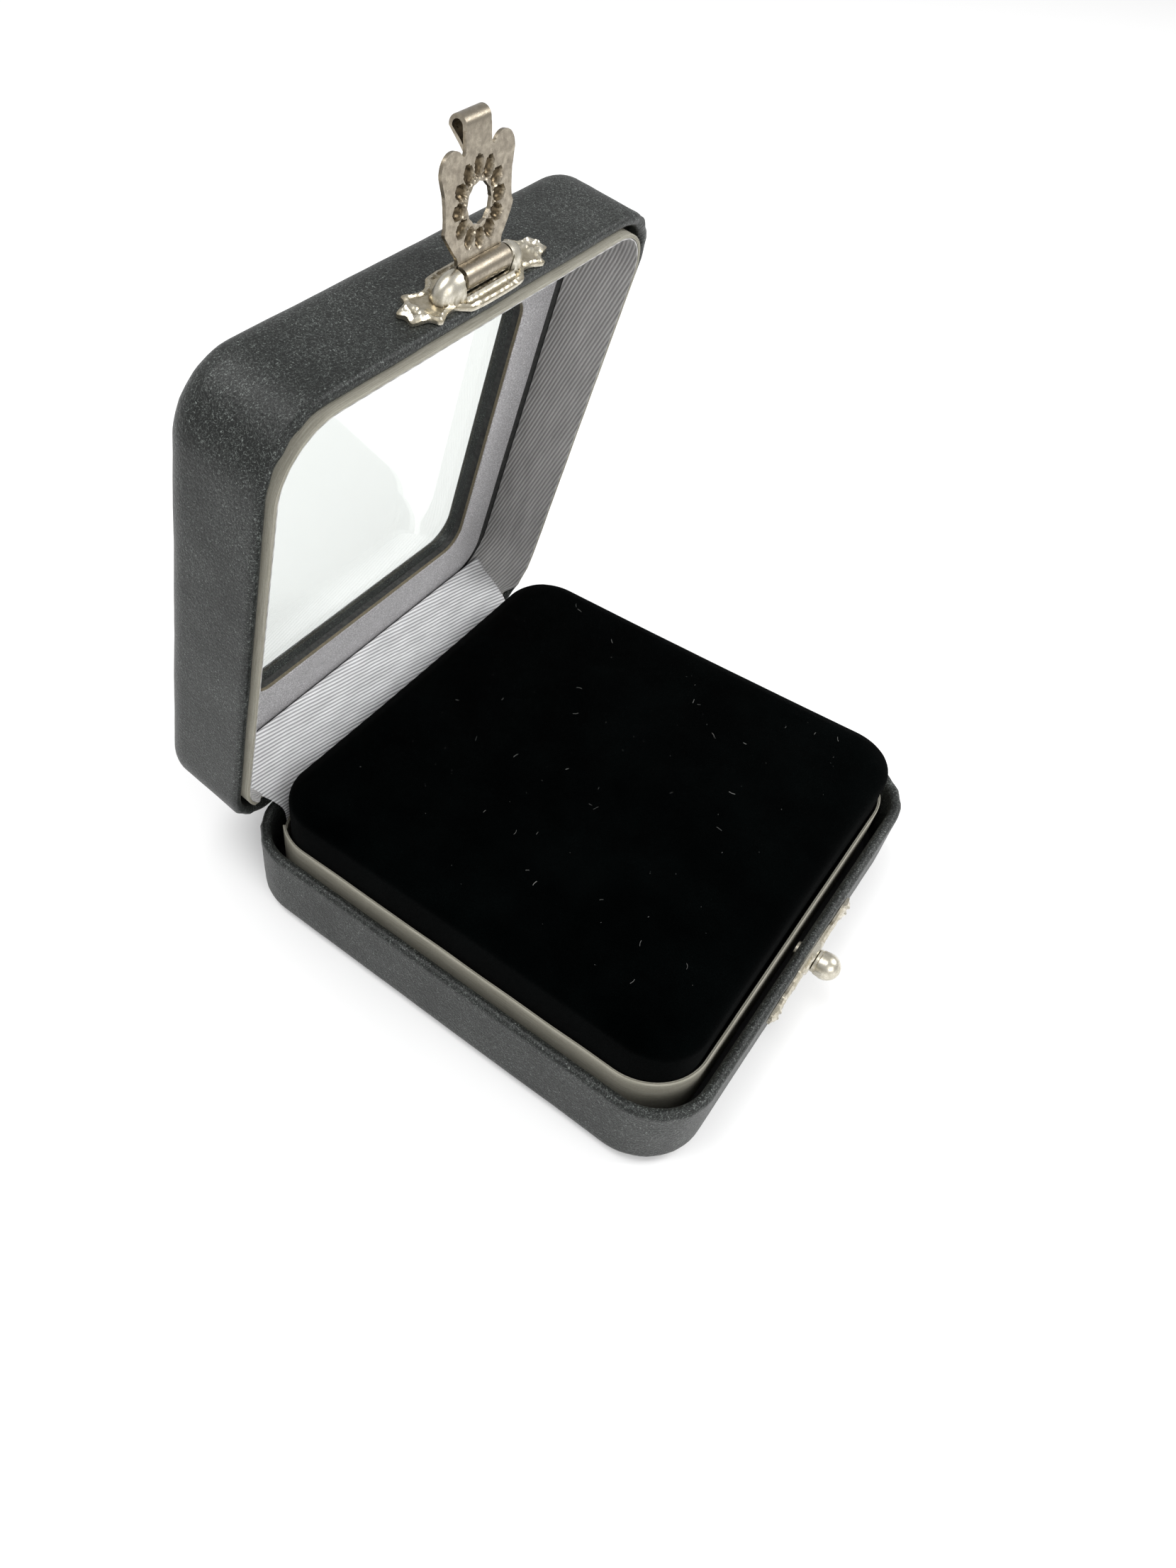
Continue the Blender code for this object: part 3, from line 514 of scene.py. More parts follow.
def make_base_leather():
    """Cover of the base: flap, rolled rim, wall, lower edge and turned-under margin."""
    edge = 2.0
    flap_end = 6.0
    turned_under = 10.0
    profile = [(COVER_INSIDE, flap_end)]
    profile += rim_bead(BASE_RIM, BEAD, 1.0, True)
    profile += [(0.0, z) for z in np.linspace(BASE_RIM - BEAD, BASE_LOW + edge, 22)[1:]]
    profile += [(edge - edge * math.cos(a), BASE_LOW + edge - edge * math.sin(a))
                for a in quarter(0, 90, 7)[1:]]
    visible = len(profile)
    profile += [(turned_under, BASE_LOW), (turned_under, BASE_LOW + LEATHER)]
    inner = edge - LEATHER
    profile += [(edge - inner * math.cos(a), BASE_LOW + edge - inner * math.sin(a))
                for a in quarter(90, 0, 5)]
    profile += rim_bead(BASE_RIM, BEAD - LEATHER, 1.0, False)
    profile.append((FLAP_OUTSIDE, flap_end))
    rows = loft(BASE_PLAN, profile)
    softness = np.zeros(len(profile))
    softness[4:visible - 1] = 1.0
    rows = drape_leather(rows, softness, BASE_RIM, 1.0)
    reach = closed_box("hinge_pin")[1][0] + 1.0
    lowered = smooth_step(reach - np.abs(rows[..., 0])) * (rows[..., 1] > LID_PIN.y - 4.0)
    rows[..., 2] -= 2.0 * lowered * smooth_step((rows[..., 2] - 8.0) / 5.0)
    piece = make_grid("base_leather", rows, LEATHER_LOOK, looped=True)
    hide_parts("base_cover")
    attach(piece, "base")


def make_lid_leather():
    """Cover of the lid: flap, rolled rim, wall, rounded edge, top and the turn-in of the window."""
    edge = 4.5
    flap_end = 19.0
    turn_in = 27.75
    profile = [(COVER_INSIDE, flap_end)]
    profile += rim_bead(LID_RIM, BEAD, -1.0, True)
    profile += [(0.0, z) for z in np.linspace(LID_RIM + BEAD, LID_TOP - edge, 16)[1:]]
    profile += [(edge - edge * math.cos(a), LID_TOP - edge + edge * math.sin(a))
                for a in quarter(0, 90, 12)[1:]]
    wall = loft(LID_PLAN, profile)
    start = outline(inset(LID_PLAN, edge))
    window_top = outline(inset(WINDOW_PLAN, -0.5))
    shares = np.linspace(0.0, 1.0, 12)[1:]
    top = [np.column_stack([start + (window_top - start) * s, np.full(len(start), LID_TOP)])
           for s in shares]
    lip = [(-0.5 + 0.5 * math.sin(a), LID_TOP - 0.5 + 0.5 * math.cos(a)) for a in quarter(0, 90, 5)[1:]]
    lip += [(0.0, z) for z in np.linspace(LID_TOP - 0.5, turn_in, 7)[1:]]
    lip += [(-3.0, turn_in), (-3.0, turn_in + 0.35), (-LEATHER, turn_in + 0.35),
            (-LEATHER, LID_TOP - LEATHER)]
    opening = loft(WINDOW_PLAN, lip)
    inner = edge - LEATHER
    back = [(edge - inner * math.cos(a), LID_TOP - edge + inner * math.sin(a)) for a in quarter(90, 0, 8)]
    back += rim_bead(LID_RIM, BEAD - LEATHER, -1.0, False)
    back.append((FLAP_OUTSIDE, flap_end))
    rows = np.concatenate([wall, np.array(top), opening, loft(LID_PLAN, back)])
    softness = np.zeros(len(rows))
    softness[4:len(wall) + len(top) - 1] = 1.0
    rows = drape_leather(rows, softness, LID_RIM, -1.0)
    piece = make_grid("lid_leather", rows, LEATHER_LOOK, LID_OPEN, looped=True)
    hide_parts("lid_cover")
    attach(piece, "lid")


# ---------------------------------------------------------------- linings

def make_base_band():
    """Cream card band: two plies with a groove between, cut low behind the pad for the hinge cloth."""
    ply = 0.45
    profile = [(0.0, BAND_LOW), (0.0, BAND_LOW + 6.0), (0.0, BAND_TOP - 0.5), (0.02, BAND_TOP - 0.06)]
    profile += [(0.08, BAND_TOP), (0.17, BAND_TOP), (0.20, BAND_TOP - 0.14), (0.25, BAND_TOP - 0.14)]
    profile += [(0.28, BAND_TOP), (0.37, BAND_TOP), (0.43, BAND_TOP - 0.06), (ply, BAND_TOP - 0.5)]
    profile += [(ply, BAND_LOW + 6.0), (ply, BAND_LOW)]
    rows = loft(BAND_PLAN, profile)
    rear = (rows[..., 1] > 30.0) * smooth_step((34.5 - np.abs(rows[..., 0])) / 0.9)
    upper = smooth_step((rows[..., 2] - BAND_LOW - 6.0) / 4.0)
    wavy = 0.16 * noise_at(rows, 0.12, 4.0) * upper
    rows[..., 2] += wavy - 3.9 * rear * upper
    piece = make_grid("base_band", rows, CREAM, looped=True)
    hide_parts("base_liner_band")
    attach(piece, "base")


def rear_foot(rows):
    """Lining points whose foot is trimmed back along the rear wall."""
    trim = closed_box("lid_shell", LID_OPEN)[0][2] - LINER_FOOT - 0.05
    at_rear = smooth_step((rows[..., 1] - 34.6) / 1.6)
    near_foot = 1.0 - smooth_step((rows[..., 2] - LINER_FOOT) / 3.0)
    rows[..., 2] += max(trim, 1.15) * at_rear * near_foot
    return rows


def make_lid_lining():
    """Card of plies with a creamy edge, faced with twill."""
    card = 0.5
    foot = LINER_FOOT + 0.3
    profile = [(0.0, LINER_TOP), (0.0, 20.0), (0.0, foot + 0.1), (0.04, foot)]
    for start in (0.04, 0.20, 0.36):
        profile += [(start + 0.02, foot), (start + 0.10, foot), (start + 0.13, foot + 0.09)]
    profile += [(card, foot + 0.04), (card, 20.0), (card, LINER_TOP)]
    rows = loft(LINER_PLAN, profile)
    rows[..., 2] += 0.05 * noise_at(rows, 0.15, 6.0) * (rows[..., 2] < 19.0)
    piece = make_grid("lid_lining_card", rear_foot(rows), CREAM, LID_OPEN, looped=True)
    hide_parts("lid_liner_card")
    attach(piece, "lid")
    levels = np.linspace(LINER_FOOT + 0.36, MOUNT_FACE + 0.2, 14)
    face = [(0.72, z) for z in levels]
    back = [(0.55, z) for z in levels[::-1]]
    rows = loft(LINER_PLAN, face + back)
    centre = rows.reshape(-1, 3).mean(0)
    ripple = 0.05 * noise_at(rows, 0.16, 2.0)
    rows[:14, :, :2] += ((rows - centre)[:14, :, :2] / 37.0) * ripple[:14, :, None]
    piece = make_grid("lid_lining", rear_foot(rows), SHADED_WALL_TWILL, LID_OPEN, looped=True)
    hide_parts("lid_liner_twill")
    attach(piece, "lid")


def make_window_mount():
    """Satin-covered mount round the window, soft at its outer edge, and its thin paper lip."""
    proud = 0.25
    face = MOUNT_FACE - proud
    soft = MOUNT_BACK - face
    profile = [(0.0, MOUNT_BACK)]
    profile += [(soft - soft * math.cos(a), MOUNT_BACK - soft * math.sin(a)) for a in quarter(0, 90, 8)[1:]]
    outer = loft(MOUNT_PLAN, profile)
    start = outer[-1][:, :2]
    inner_plan = inset(MOUNT_WINDOW, -0.35)
    end = outline(inner_plan)
    across = [np.column_stack([start + (end - start) * s, np.full(len(start), face)])
              for s in np.linspace(0.0, 1.0, 14)[1:]]
    lip = [(0.25 * math.sin(a), face + 0.25 - 0.25 * math.cos(a)) for a in quarter(0, 90, 4)[1:]]
    rows = np.concatenate([outer, np.array(across), loft(inner_plan, lip + [(0.25, MOUNT_BACK)])])
    rows[1:-1, :, 2] += 0.04 * noise_at(rows, 0.14, 7.0)[1:-1]
    piece = make_grid("window_mount", rows, SATIN, LID_OPEN, looped=True)
    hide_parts("window_satin")
    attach(piece, "lid")
    low = face + 0.05
    edge = [(-0.05, MOUNT_BACK), (-0.05, low + 0.04), (-0.02, low), (0.05, low + 0.04)]
    rows = loft(MOUNT_WINDOW, edge + [(0.05, MOUNT_BACK)])
    piece = make_grid("mount_paper_edge", rows, PAPER_EDGE, LID_OPEN, looped=True)
    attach(piece, "lid")


def smooth_path(points, steps):
    """Catmull-Rom curve through points, with steps on each stretch."""
    knots = np.array(points, float)
    padded = np.concatenate([[2 * knots[0] - knots[1]], knots, [2 * knots[-1] - knots[-2]]])
    made = []
    for a, b, c, d in zip(padded, padded[1:], padded[2:], padded[3:]):
        for share in np.arange(steps) / steps:
            made.append(0.5 * (2 * b + (c - a) * share + (2 * a - 5 * b + 4 * c - d) * share ** 2
                               + (3 * b - a - 3 * c + d) * share ** 3))
    made.append(knots[-1])
    return np.array(made)


def make_hinge_strip():
    """One strip of twill from inside the base, up over the hinge and into the lid."""
    path = smooth_path([(36.6, 5.0), (36.6, 9.0), (36.7, 11.6), (37.0, 13.3), (37.7, 14.8), (39.5, 16.1),
                        (42.5, 17.3), (45.6, 18.5), (47.3, 19.5), (47.9, 19.7), (48.2, 19.2)], 5)
    steps = np.concatenate([[0.0], np.cumsum(np.linalg.norm(np.diff(path, axis=0), axis=1))])
    share = steps / steps[-1]
    half = 31.3 + 3.5 * smooth_step((share - 0.35) / 0.5)
    across = np.linspace(-1.0, 1.0, 81)
    rows = np.zeros((len(path), len(across), 3))
    rows[..., 0] = half[:, None] * across[None, :]
    rows[..., 1] = path[:, None, 0]
    rows[..., 2] = path[:, None, 1]
    free = (smooth_step((share - 0.3) / 0.2) * (1.0 - smooth_step((share - 0.85) / 0.15)))[:, None]
    rows[..., 2] += free * (0.25 * noise_at(rows, 0.08, 1.0) + 0.07 * noise_at(rows, 0.4, 8.0))
    rows[..., 2] -= free * 0.5 * np.abs(across)[None, :] ** 6
    piece = make_grid("hinge_strip", rows, LIT_STRIP_TWILL, ring=False)
    thicken(piece, 0.15)
    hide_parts("hinge_cloth_base", "hinge_cloth_lid")
    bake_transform(piece)


# ---------------------------------------------------------------- pad

def make_velvet():
    """Crowned velvet pad whose sides pull in between the corners."""
    shoulder = 4.6
    drop = 2.8
    profile = [(0.0, z) for z in np.linspace(PAD_LOW, PAD_TOP - drop, 12)]
    profile += [(shoulder * (1 - math.cos(a)), PAD_TOP - drop + drop * math.sin(a) ** 0.9)
                for a in quarter(0, 90, 16)[1:]]
    wall = loft(PAD_PLAN, profile)
    rim = wall[-1][:, :2]
    centre = rim.mean(0)
    top = []
    for share in np.linspace(1.0, 0.03, 26)[1:]:
        ring = centre + (rim - centre) * share
        top.append(np.column_stack([ring, np.full(len(ring), PAD_TOP)]))
    rows = np.concatenate([wall, np.array(top)])
    x, y = rows[..., 0] / PAD_PLAN[0], (rows[..., 1] - centre[1]) / PAD_PLAN[0]
    sag = 0.22 * smooth_step((np.maximum(np.abs(x), np.abs(y)) - 0.2) / 0.8)
    on_top = smooth_step((rows[..., 2] - PAD_TOP + drop) / drop)
    rows[..., 2] -= on_top * (sag + 0.09 * np.abs(noise_at(rows, 0.09, 2.0)))
    ridge = np.exp(-((np.maximum(x, y) - 0.925) / 0.014) ** 2)
    rows[..., 2] += 0.10 * ridge * on_top
    pull = 0.38 * np.where(np.abs(x) > np.abs(y), np.cos(y * 1.5), np.cos(x * 1.5)).clip(0.0)
    side_x = (np.abs(x) > np.abs(y)) * np.sign(x) * pull
    side_y = (np.abs(x) <= np.abs(y)) * np.sign(y) * pull
    outer = smooth_step((np.maximum(np.abs(x), np.abs(y)) - 0.75) / 0.2)
    corner_fade = smooth_step(np.abs(np.abs(x) - np.abs(y)) / 0.25)
    rows[..., 0] -= side_x * outer * corner_fade
    rows[..., 1] -= side_y * outer * corner_fade
    piece = make_grid("velvet_cover", rows, VELVET, capped=True)
    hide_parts("pad_velvet")
    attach(piece, "base")


def make_lint():
    """Short loose fibres and specks lying on the velvet."""
    chance = random.Random(11)
    points = []
    faces = []
    for _ in range(90):
        x, y = chance.uniform(-31.0, 31.0), chance.uniform(-31.0, 30.0)
        heading = chance.uniform(0.0, math.tau)
        bend = chance.uniform(-1.6, 1.6)
        length = chance.choice((0.08, 0.1, 0.14, 0.25, 0.7, 1.2))
        radius = chance.uniform(0.016, 0.036)
        first = len(points)
        stations = 5
        for step in range(stations):
            for side in range(3):
                angle = math.tau * side / 3.0
                points.append((x + radius * math.cos(angle) * math.sin(heading),
                               y - radius * math.cos(angle) * math.cos(heading),
                               PAD_TOP - 0.02 + radius * (0.4 + math.sin(angle))))
            x += length / stations * math.cos(heading)
            y += length / stations * math.sin(heading)
            heading += bend / stations
        for step in range(stations - 1):
            for side in range(3):
                a = first + 3 * step + side
                b = first + 3 * step + (side + 1) % 3
                faces.append((a, b, b + 3, a + 3))
        faces.append((first, first + 1, first + 2))
        faces.append((first + 12, first + 13, first + 14))
    piece = make_mesh("velvet_lint", np.array(points), faces, LINT)
    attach(piece, "base")


# ---------------------------------------------------------------- stamped hardware

def inside(points, polygon):
    """Which points lie in a polygon, by counting crossings."""
    x, y = points[:, 0][:, None], points[:, 1][:, None]
    x1, y1 = polygon[:, 0], polygon[:, 1]
    x2, y2 = np.roll(x1, -1), np.roll(y1, -1)
    spans = (y1 > y) != (y2 > y)
    rise = np.where(y2 == y1, 1e-12, y2 - y1)
    return (spans & (x < (x2 - x1) * (y - y1) / rise + x1)).sum(1) % 2 == 1


def distance_to(points, polygon):
    """Distance from each point to the nearest edge of a polygon."""
    start = polygon
    run = np.roll(polygon, -1, 0) - start
    offset = points[:, None, :] - start[None]
    share = np.clip((offset * run).sum(2) / np.maximum((run * run).sum(1), 1e-12), 0.0, 1.0)
    return np.linalg.norm(offset - share[..., None] * run, axis=2).min(1)


def spread(polygon, spacing):
    """A closed polygon with a point about every spacing."""
    made = []
    for start, end in zip(polygon, np.roll(polygon, -1, 0)):
        count = max(1, round(float(np.linalg.norm(end - start)) / spacing))
        made += [start + (end - start) * k / count for k in range(count)]
    return np.array(made)


def rounded_off(polygon, rounds=2):
    """A closed polygon with its corners cut back to curves."""
    points = np.array(polygon, float)
    for _ in range(rounds):
        following = np.roll(points, -1, 0)
        pair = [0.78 * points + 0.22 * following, 0.22 * points + 0.78 * following]
        points = np.stack(pair, 1).reshape(-1, 2)
    return points


def stamp(border, holes, height, face_y, back_y, spacing=0.24, through=False):
    """Points, faces and tone of a stamped sheet, worn by height and with painted shade in any hollows
    pressed through its back: an outline in X and Z, raised by height(points, edge).
    """
    loops = [spread(loop, spacing) for loop in [border, *holes]]
    low, high = border.min(0), border.max(0)
    columns = np.arange(low[0], high[0], spacing)
    levels = np.arange(low[1], high[1], spacing * 0.866)
    offset = (np.arange(len(levels)) % 2) * spacing / 2.0
    field = np.array([(x + shift, z) for z, shift in zip(levels, offset) for x in columns])
    keep = inside(field, loops[0]) & (distance_to(field, loops[0]) > spacing * 0.55)
    for loop in loops[1:]:
        keep &= ~inside(field, loop) & (distance_to(field, loop) > spacing * 0.55)
    points = np.concatenate([*loops, field[keep]])
    edges = []
    first = 0
    for loop in loops:
        edges += [(first + k, first + (k + 1) % len(loop)) for k in range(len(loop))]
        first += len(loop)
    found = geometry.delaunay_2d_cdt([Vector(p) for p in points], edges, [], 0, 1e-6)
    flat = np.array([tuple(p) for p in found[0]])
    triangles = np.array([t for t in found[2] if len(t) == 3])
    middle = flat[triangles].mean(1)
    good = inside(middle, loops[0])
    for loop in loops[1:]:
        good &= ~inside(middle, loop)
    triangles = triangles[good]
    edge = np.min([distance_to(flat, loop) for loop in loops], axis=0)
    raised, wear_and_shade = height(flat, edge)
    front = np.column_stack([flat[:, 0], face_y - raised, flat[:, 1]])
    pressed = raised if through else np.zeros(len(flat))
    # Painted shade: where the sheet is pressed through, the back face is darkened in its pockets.
    hollow_shade = np.clip(0.8 - 2.2 * pressed, 0.0, 0.8)
    behind = np.column_stack([flat[:, 0], back_y - pressed, flat[:, 1]])
    count = len(flat)
    faces = [tuple(int(i) for i in t) for t in triangles]
    faces += [tuple(int(i) + count for i in t[::-1]) for t in triangles]
    seen = {}
    for a, b, c in triangles:
        for pair in ((a, b), (b, c), (c, a)):
            key = (int(min(pair)), int(max(pair)))
            seen[key] = seen.get(key, 0) + 1
    faces += [(a, b, b + count, a + count) for (a, b), uses in seen.items() if uses == 1]
    return np.concatenate([front, behind]), faces, np.concatenate([wear_and_shade, hollow_shade])


def joined(parts):
    """Several (points, faces, wear and painted shade) shapes as one."""
    points, faces, wear_and_shade = [], [], []
    first = 0
    for part_points, part_faces, part_wear_and_shade in parts:
        points.append(part_points)
        faces += [tuple(i + first for i in face) for face in part_faces]
        wear_and_shade.append(part_wear_and_shade)
        first += len(part_points)
    return np.concatenate(points), faces, np.concatenate(wear_and_shade)


def tube(rows, wear_and_shade):
    """Points, faces and a wear and painted shade value of a ring-shaped grid with closed ends."""
    count_v, count_u = rows.shape[:2]
    faces = [tuple(range(count_u)), tuple(range((count_v - 1) * count_u, count_v * count_u))]
    for i in range(count_v - 1):
        for j in range(count_u):
            k = (j + 1) % count_u
            faces.append((i * count_u + j, i * count_u + k, (i + 1) * count_u + k, (i + 1) * count_u + j))
    return rows.reshape(-1, 3), faces, np.full(count_v * count_u, wear_and_shade)


def rolled(centre_y, centre_z, radius, sheet, first, last, half_x, steps=40):
    """A strip of sheet rolled about X, as a tube of cross-sections along the roll."""
    rows = []
    for angle in np.radians(np.linspace(first, last, steps + 1)):
        outer = (centre_y + radius * math.cos(angle), centre_z + radius * math.sin(angle))
        inner = (centre_y + (radius - sheet) * math.cos(angle),
                 centre_z + (radius - sheet) * math.sin(angle))
        soft = half_x - 0.08
        rows.append([(-soft, *outer), (soft, *outer), (half_x, *inner), (-half_x, *inner)])
    return tube(np.array(rows), 0.75)


def scalloped(half_length, half_height, centre_z):
    """Outline of a mount: broad body, pinched waists, winged ends."""
    right = [(0.36, 1.0), (0.43, 0.78), (0.51, 0.58), (0.62, 0.62), (0.76, 0.86), (0.80, 0.50),
             (0.88, 0.42), (1.0, 0.32), (0.95, 0.0)]
    upper = [(half_length * u, half_height * v) for u, v in right]
    half = upper + [(x, -z) for x, z in reversed(upper[:-1])]
    points = half + [(-x, -z) for x, z in half]
    return rounded_off([(x, centre_z + z) for x, z in points])


def border_rib(edge, rise=0.28, at=0.5, width=0.2):
    return rise * np.exp(-((edge - at) / width) ** 2)


def flower(points, centre, radius, petals, rise):
    """Raised petals round a centre."""
    away = points - np.array(centre)
    reach = np.linalg.norm(away, axis=1) / radius
    angle = np.arctan2(away[:, 1], away[:, 0])
    lobes = 0.35 + 0.65 * np.abs(np.cos(petals * angle / 2.0))
    return rise * lobes * np.exp(-((reach - 0.55) / 0.38) ** 2) * (reach < 1.15)


def stipple(points, rise):
    lumps = noise_at(np.column_stack([points, np.zeros(len(points))]), 1.9, 4.0)
    return rise * lumps


def finish_metal(name, shape, matrix, node, body, look=NICKEL):
    points, faces, wear_and_shade = shape
    piece = make_mesh(name, moved(points, matrix), faces, look, wear_and_shade=wear_and_shade, sharp=38.0)
    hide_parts(node)
    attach(piece, body)


def make_hasp_mount():
    """Stamped mount on the lid's front, with two domes that hold the pin and a flower at each end."""
    low, high = closed_box("hasp_plate", LID_OPEN)
    pin_z = HASP_PIN.z
    sheet, dome_height, dome_length, dome_half_height = 0.4, 3.0, 3.6, 2.0
    back = high[1]
    face = back - sheet
    border = scalloped(high[0], (high[2] - low[2]) / 2.0, (high[2] + low[2]) / 2.0)
    reach_x, reach_z = 4.8, 0.9
    well = np.array([(-reach_x, pin_z - reach_z), (reach_x, pin_z - reach_z), (reach_x, pin_z + reach_z),
                     (-reach_x, pin_z + reach_z)])

    def height(points, edge):
        along = (np.abs(points[:, 0]) - reach_x) / dome_length
        up = (points[:, 1] - pin_z) / dome_half_height
        swell = along ** 2 + up ** 2
        # The domes stop at the ends of the well, so the sheet stays clear of the barrel.
        dome = dome_height * np.sqrt(np.clip(1.0 - swell, 0.0, 1.0)) * (along >= 0.0)
        rib = border_rib(edge) * (dome < 0.05)
        beside_well = np.abs(points[:, 1] - pin_z) - reach_z
        lip = 0.55 * np.exp(-((beside_well - 0.95) / 0.3) ** 2) * (np.abs(points[:, 0]) < reach_x)
        ends = flower(np.column_stack([np.abs(points[:, 0]), points[:, 1]]),
                      (high[0] - 2.0, (high[2] + low[2]) / 2.0), 1.7, 5, 0.42)
        raised = np.maximum(dome, np.maximum(lip, rib + ends) + stipple(points, 0.09))
        crevice = np.exp(-((swell - 1.08) / 0.09) ** 2) * (along > 0.0)
        return raised, np.clip(0.3 + raised * 1.3 - 0.5 * crevice, 0.0, 1.0)

    finish_metal("hasp_mount", stamp(border, [well], height, face, back), LID_OPEN, "hasp_plate", "lid")


def folded(sections, half_x, wear_and_shade):
    """A bent strip of sheet, as a tube of cross-sections between its outer and inner faces."""
    soft = half_x - 0.08
    rows = [[(-soft, *outer), (soft, *outer), (half_x, *inner), (-half_x, *inner)]
            for outer, inner in sections]
    return tube(np.array(rows), wear_and_shade)


def petal_ring(points, centre, count, middle, long, wide):
    """Oval swellings that point outwards from a centre, as a height from 0 to 1."""
    away = points - np.array(centre)
    reach = np.linalg.norm(away, axis=1)
    turns = np.arctan2(away[:, 1], away[:, 0]) / math.tau * count
    across = reach * (turns - np.round(turns)) * math.tau / count
    return np.sqrt(np.clip(1.0 - ((reach - middle) / long) ** 2 - (across / wide) ** 2, 0.0, 1.0))


def make_hasp_flap():
    """Leaf with petals pressed through it round the hole, plain wings, a barrel and a folded tip."""
    pin_y, pin_z = HASP_PIN.y, HASP_PIN.z
    radius, sheet, drop = 1.6, 0.5, 7.3
    tip_radius, tip_drop = 1.25, 15.6
    outside = pin_y - 0.55
    within = outside + sheet
    right = [(4.3, 1.3), (4.3, 2.3), (4.9, 3.0), (6.0, 4.5), (6.7, 5.6), (6.3, 6.4), (6.3, 9.2)]
    right += [(4.75 + 2.15 * math.cos(a), 11.7 + 2.15 * math.sin(a)) for a in quarter(-25, 150, 7)]
    right += [(2.5, 12.9), (2.35, 13.6), (2.35, tip_drop)]
    shape = [(x, pin_z - t) for x, t in right] + [(-x, pin_z - t) for x, t in reversed(right)]
    border = rounded_off(shape, 1)
    angles = np.linspace(0.0, math.tau, 73)[:-1]
    centre = (0.0, pin_z - drop)
    rim = 2.35 - 0.12 * np.abs(np.sin(6.0 * angles))
    hole = np.column_stack([rim * np.cos(angles), centre[1] + rim * np.sin(angles)])

    def height(points, edge):
        petals = petal_ring(points, centre, 12, 3.9, 1.15, 0.86)
        dents = petal_ring(points, centre, 24, 2.85, 0.3, 0.24)
        raised = 0.75 * petals + 0.22 * dents + stipple(points, 0.035)
        past_barrel = smooth_step((pin_z - points[:, 1] - 1.6) / 1.2)
        before_tip = smooth_step((points[:, 1] - pin_z + 12.8) / 0.8)
        plain = past_barrel * before_tip
        return raised * plain, np.clip(0.35 + raised * 1.5, 0.0, 1.0)

    leaf = stamp(border, [hole], height, outside, within, through=True)
    barrel = rolled(pin_y, pin_z, radius, sheet, -98.0, -450.0, 4.4)
    centre_y, centre_z = within - tip_radius, pin_z - tip_drop
    sections = [((within + 0.01, centre_z + 0.5), (outside - 0.01, centre_z + 0.5))]
    for a in quarter(0, -180, 18):
        across, up = math.cos(a), math.sin(a)
        small = tip_radius - sheet
        sections.append(((centre_y + tip_radius * across, centre_z + tip_radius * up),
                         (centre_y + small * across, centre_z + small * up)))
    sections.append(((outside - 0.75, centre_z + 1.6), (outside - 0.35, centre_z + 1.3)))
    sections.append(((outside + 0.05, centre_z + 2.7), (outside + 0.05, centre_z + 1.9)))
    tip = folded(sections, 2.35, 0.75)
    finish_metal("hasp_flap", joined([leaf, barrel, tip]), HASP_OPEN, "hasp_leaf", "hasp", DIMMED_LEAF_NICKEL)


def make_catch():
    """Stamped mount and domed stud on the front of the base."""
    low, high = closed_box("catch_plate")
    knob_low, knob_high = closed_box("catch_knob")
    centre_z = (knob_low[2] + knob_high[2]) / 2.0
    back = high[1]
    face = back - 0.4
    half_height = min(centre_z - 0.4 - low[2], 3.1)
    border = scalloped(high[0], half_height, centre_z - 0.4)
    angles = np.linspace(0.0, math.tau, 25)[:-1]
    shank = np.column_stack([0.85 * np.cos(angles), centre_z + 0.85 * np.sin(angles)])

    def height(points, edge):
        reach = np.linalg.norm(points - np.array((0.0, centre_z)), axis=1)
        boss = 0.5 * smooth_step((3.1 - reach) / 0.5)
        ends = flower(np.column_stack([np.abs(points[:, 0]), points[:, 1]]),
                      (high[0] - 2.2, centre_z - 0.4),
                      1.6, 5, 0.42)
        raised = boss + (border_rib(edge) + ends) * (boss < 0.02) + stipple(points, 0.05)
        return raised, np.clip(0.4 + raised * 1.2, 0.0, 1.0)

    finish_metal("catch_mount", stamp(border, [shank], height, face, back), AT_REST, "catch_plate", "base")

    tip, inner = knob_low[1], knob_high[1]
    radius = (knob_high[2] - knob_low[2]) / 2.0
    collar = face - 0.55
    profile = [(0.02, inner), (1.3, inner), (1.3, inner - 0.4), (0.8, inner - 0.45),
               (0.8, collar), (1.7, collar)]
    profile += [(1.86, collar - 0.12), (1.86, collar - 0.5), (1.98, collar - 0.62)]
    profile += [(radius * math.cos(a), tip + radius - radius * math.sin(a)) for a in quarter(0, 88, 14)]
    sides = np.linspace(0.0, math.tau, 49)[:-1]
    rows = np.array([[(r * math.cos(a), y, centre_z + r * math.sin(a)) for a in sides] for r, y in profile])
    finish_metal("catch_stud", tube(rows, 0.8), AT_REST, "catch_knob", "base")


# ---------------------------------------------------------------- stage, light and camera

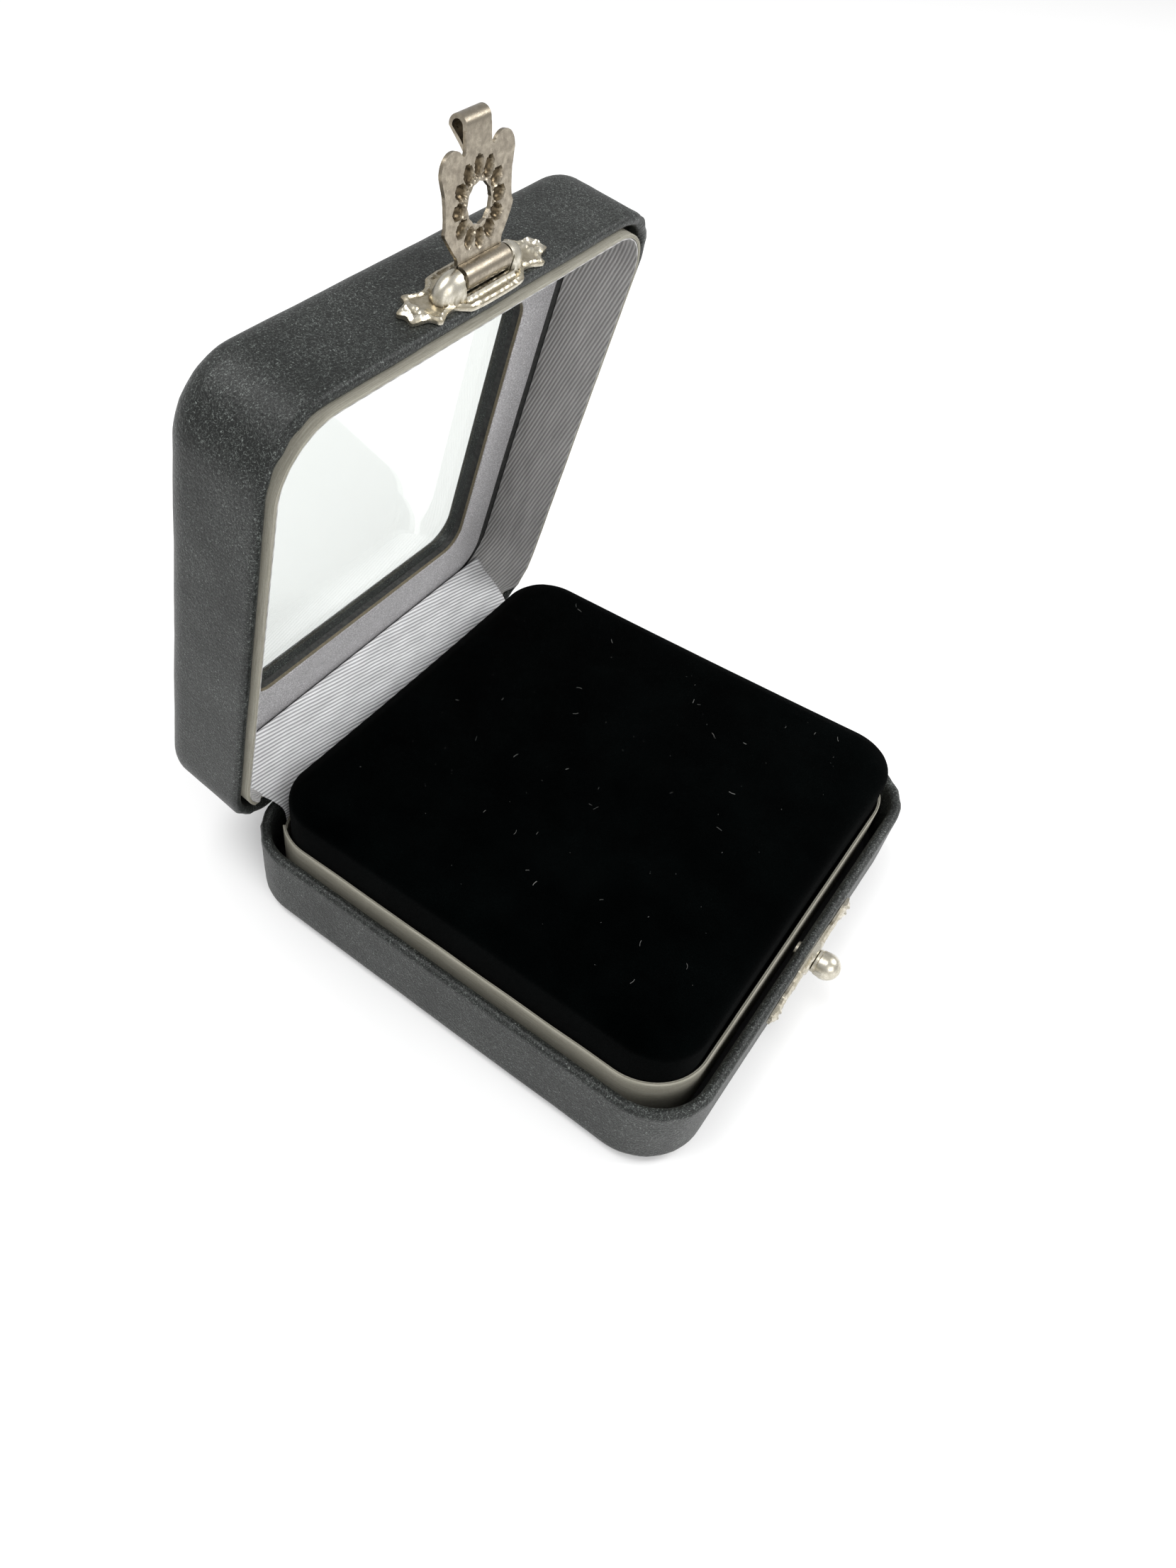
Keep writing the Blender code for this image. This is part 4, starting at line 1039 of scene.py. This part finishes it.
def make_stage():
    floor_look = Look("floor_white", (0.85, 0.85, 0.85), 0.7, Emission_Color=(1.0, 1.0, 1.0, 1.0),
                      Emission_Strength=0.12, Specular_IOR_Level=0.0).material
    size = 3000.0
    corners = np.array([(-size, -size, -0.05), (size, -size, -0.05),
                        (size, size, -0.05), (-size, size, -0.05)])
    make_mesh("floor", corners, [(0, 1, 2, 3)], floor_look)
    world = bpy.data.worlds.new("studio")
    world.use_nodes = True
    world.node_tree.nodes["Background"].inputs["Color"].default_value = (1.0, 1.0, 1.0, 1.0)
    world.node_tree.nodes["Background"].inputs["Strength"].default_value = 0.62
    bpy.context.scene.world = world
    bpy.context.scene.view_settings.view_transform = "Standard"


def make_light(name, place, aim, size, watts):
    """A square soft light, in millimetres."""
    light = bpy.data.lights.new(name, "AREA")
    light.size = size * MM
    light.energy = watts
    lamp = bpy.data.objects.new(name, light)
    lamp.location = Vector(place) * MM
    lamp.rotation_euler = (Vector(place) - Vector(aim)).to_track_quat("Z", "Y").to_euler()
    bpy.context.scene.collection.objects.link(lamp)


def make_camera():
    """Close and high, in front of the left corner, a little off the lens axis."""
    camera = bpy.data.cameras.new("camera")
    camera.lens = 24.97
    camera.shift_x = 0.1267
    camera.shift_y = -0.0256
    camera.clip_start = 0.005
    camera.clip_end = 20.0
    holder = bpy.data.objects.new("camera", camera)
    holder.location = Vector((-106.77, -46.19, 149.93)) * MM
    holder.rotation_euler = [math.radians(angle) for angle in (42.629, -0.441, -50.324)]
    bpy.context.scene.collection.objects.link(holder)
    bpy.context.scene.camera = holder


make_camera()
make_stage()
make_light("key", (-250.0, 350.0, 1000.0), (0.0, 20.0, 30.0), 600.0, 6.3)
make_light("fill", (-200.0, -360.0, 260.0), (0.0, 0.0, 20.0), 300.0, 0.7)
make_light("front", (320.0, -300.0, 420.0), (0.0, 45.0, 50.0), 240.0, 1.7)
make_base_leather()
make_lid_leather()
make_base_band()
make_lid_lining()
make_window_mount()
make_hinge_strip()
make_velvet()
make_lint()
make_hasp_mount()
make_hasp_flap()
make_catch()

bpy.context.view_layer.update()
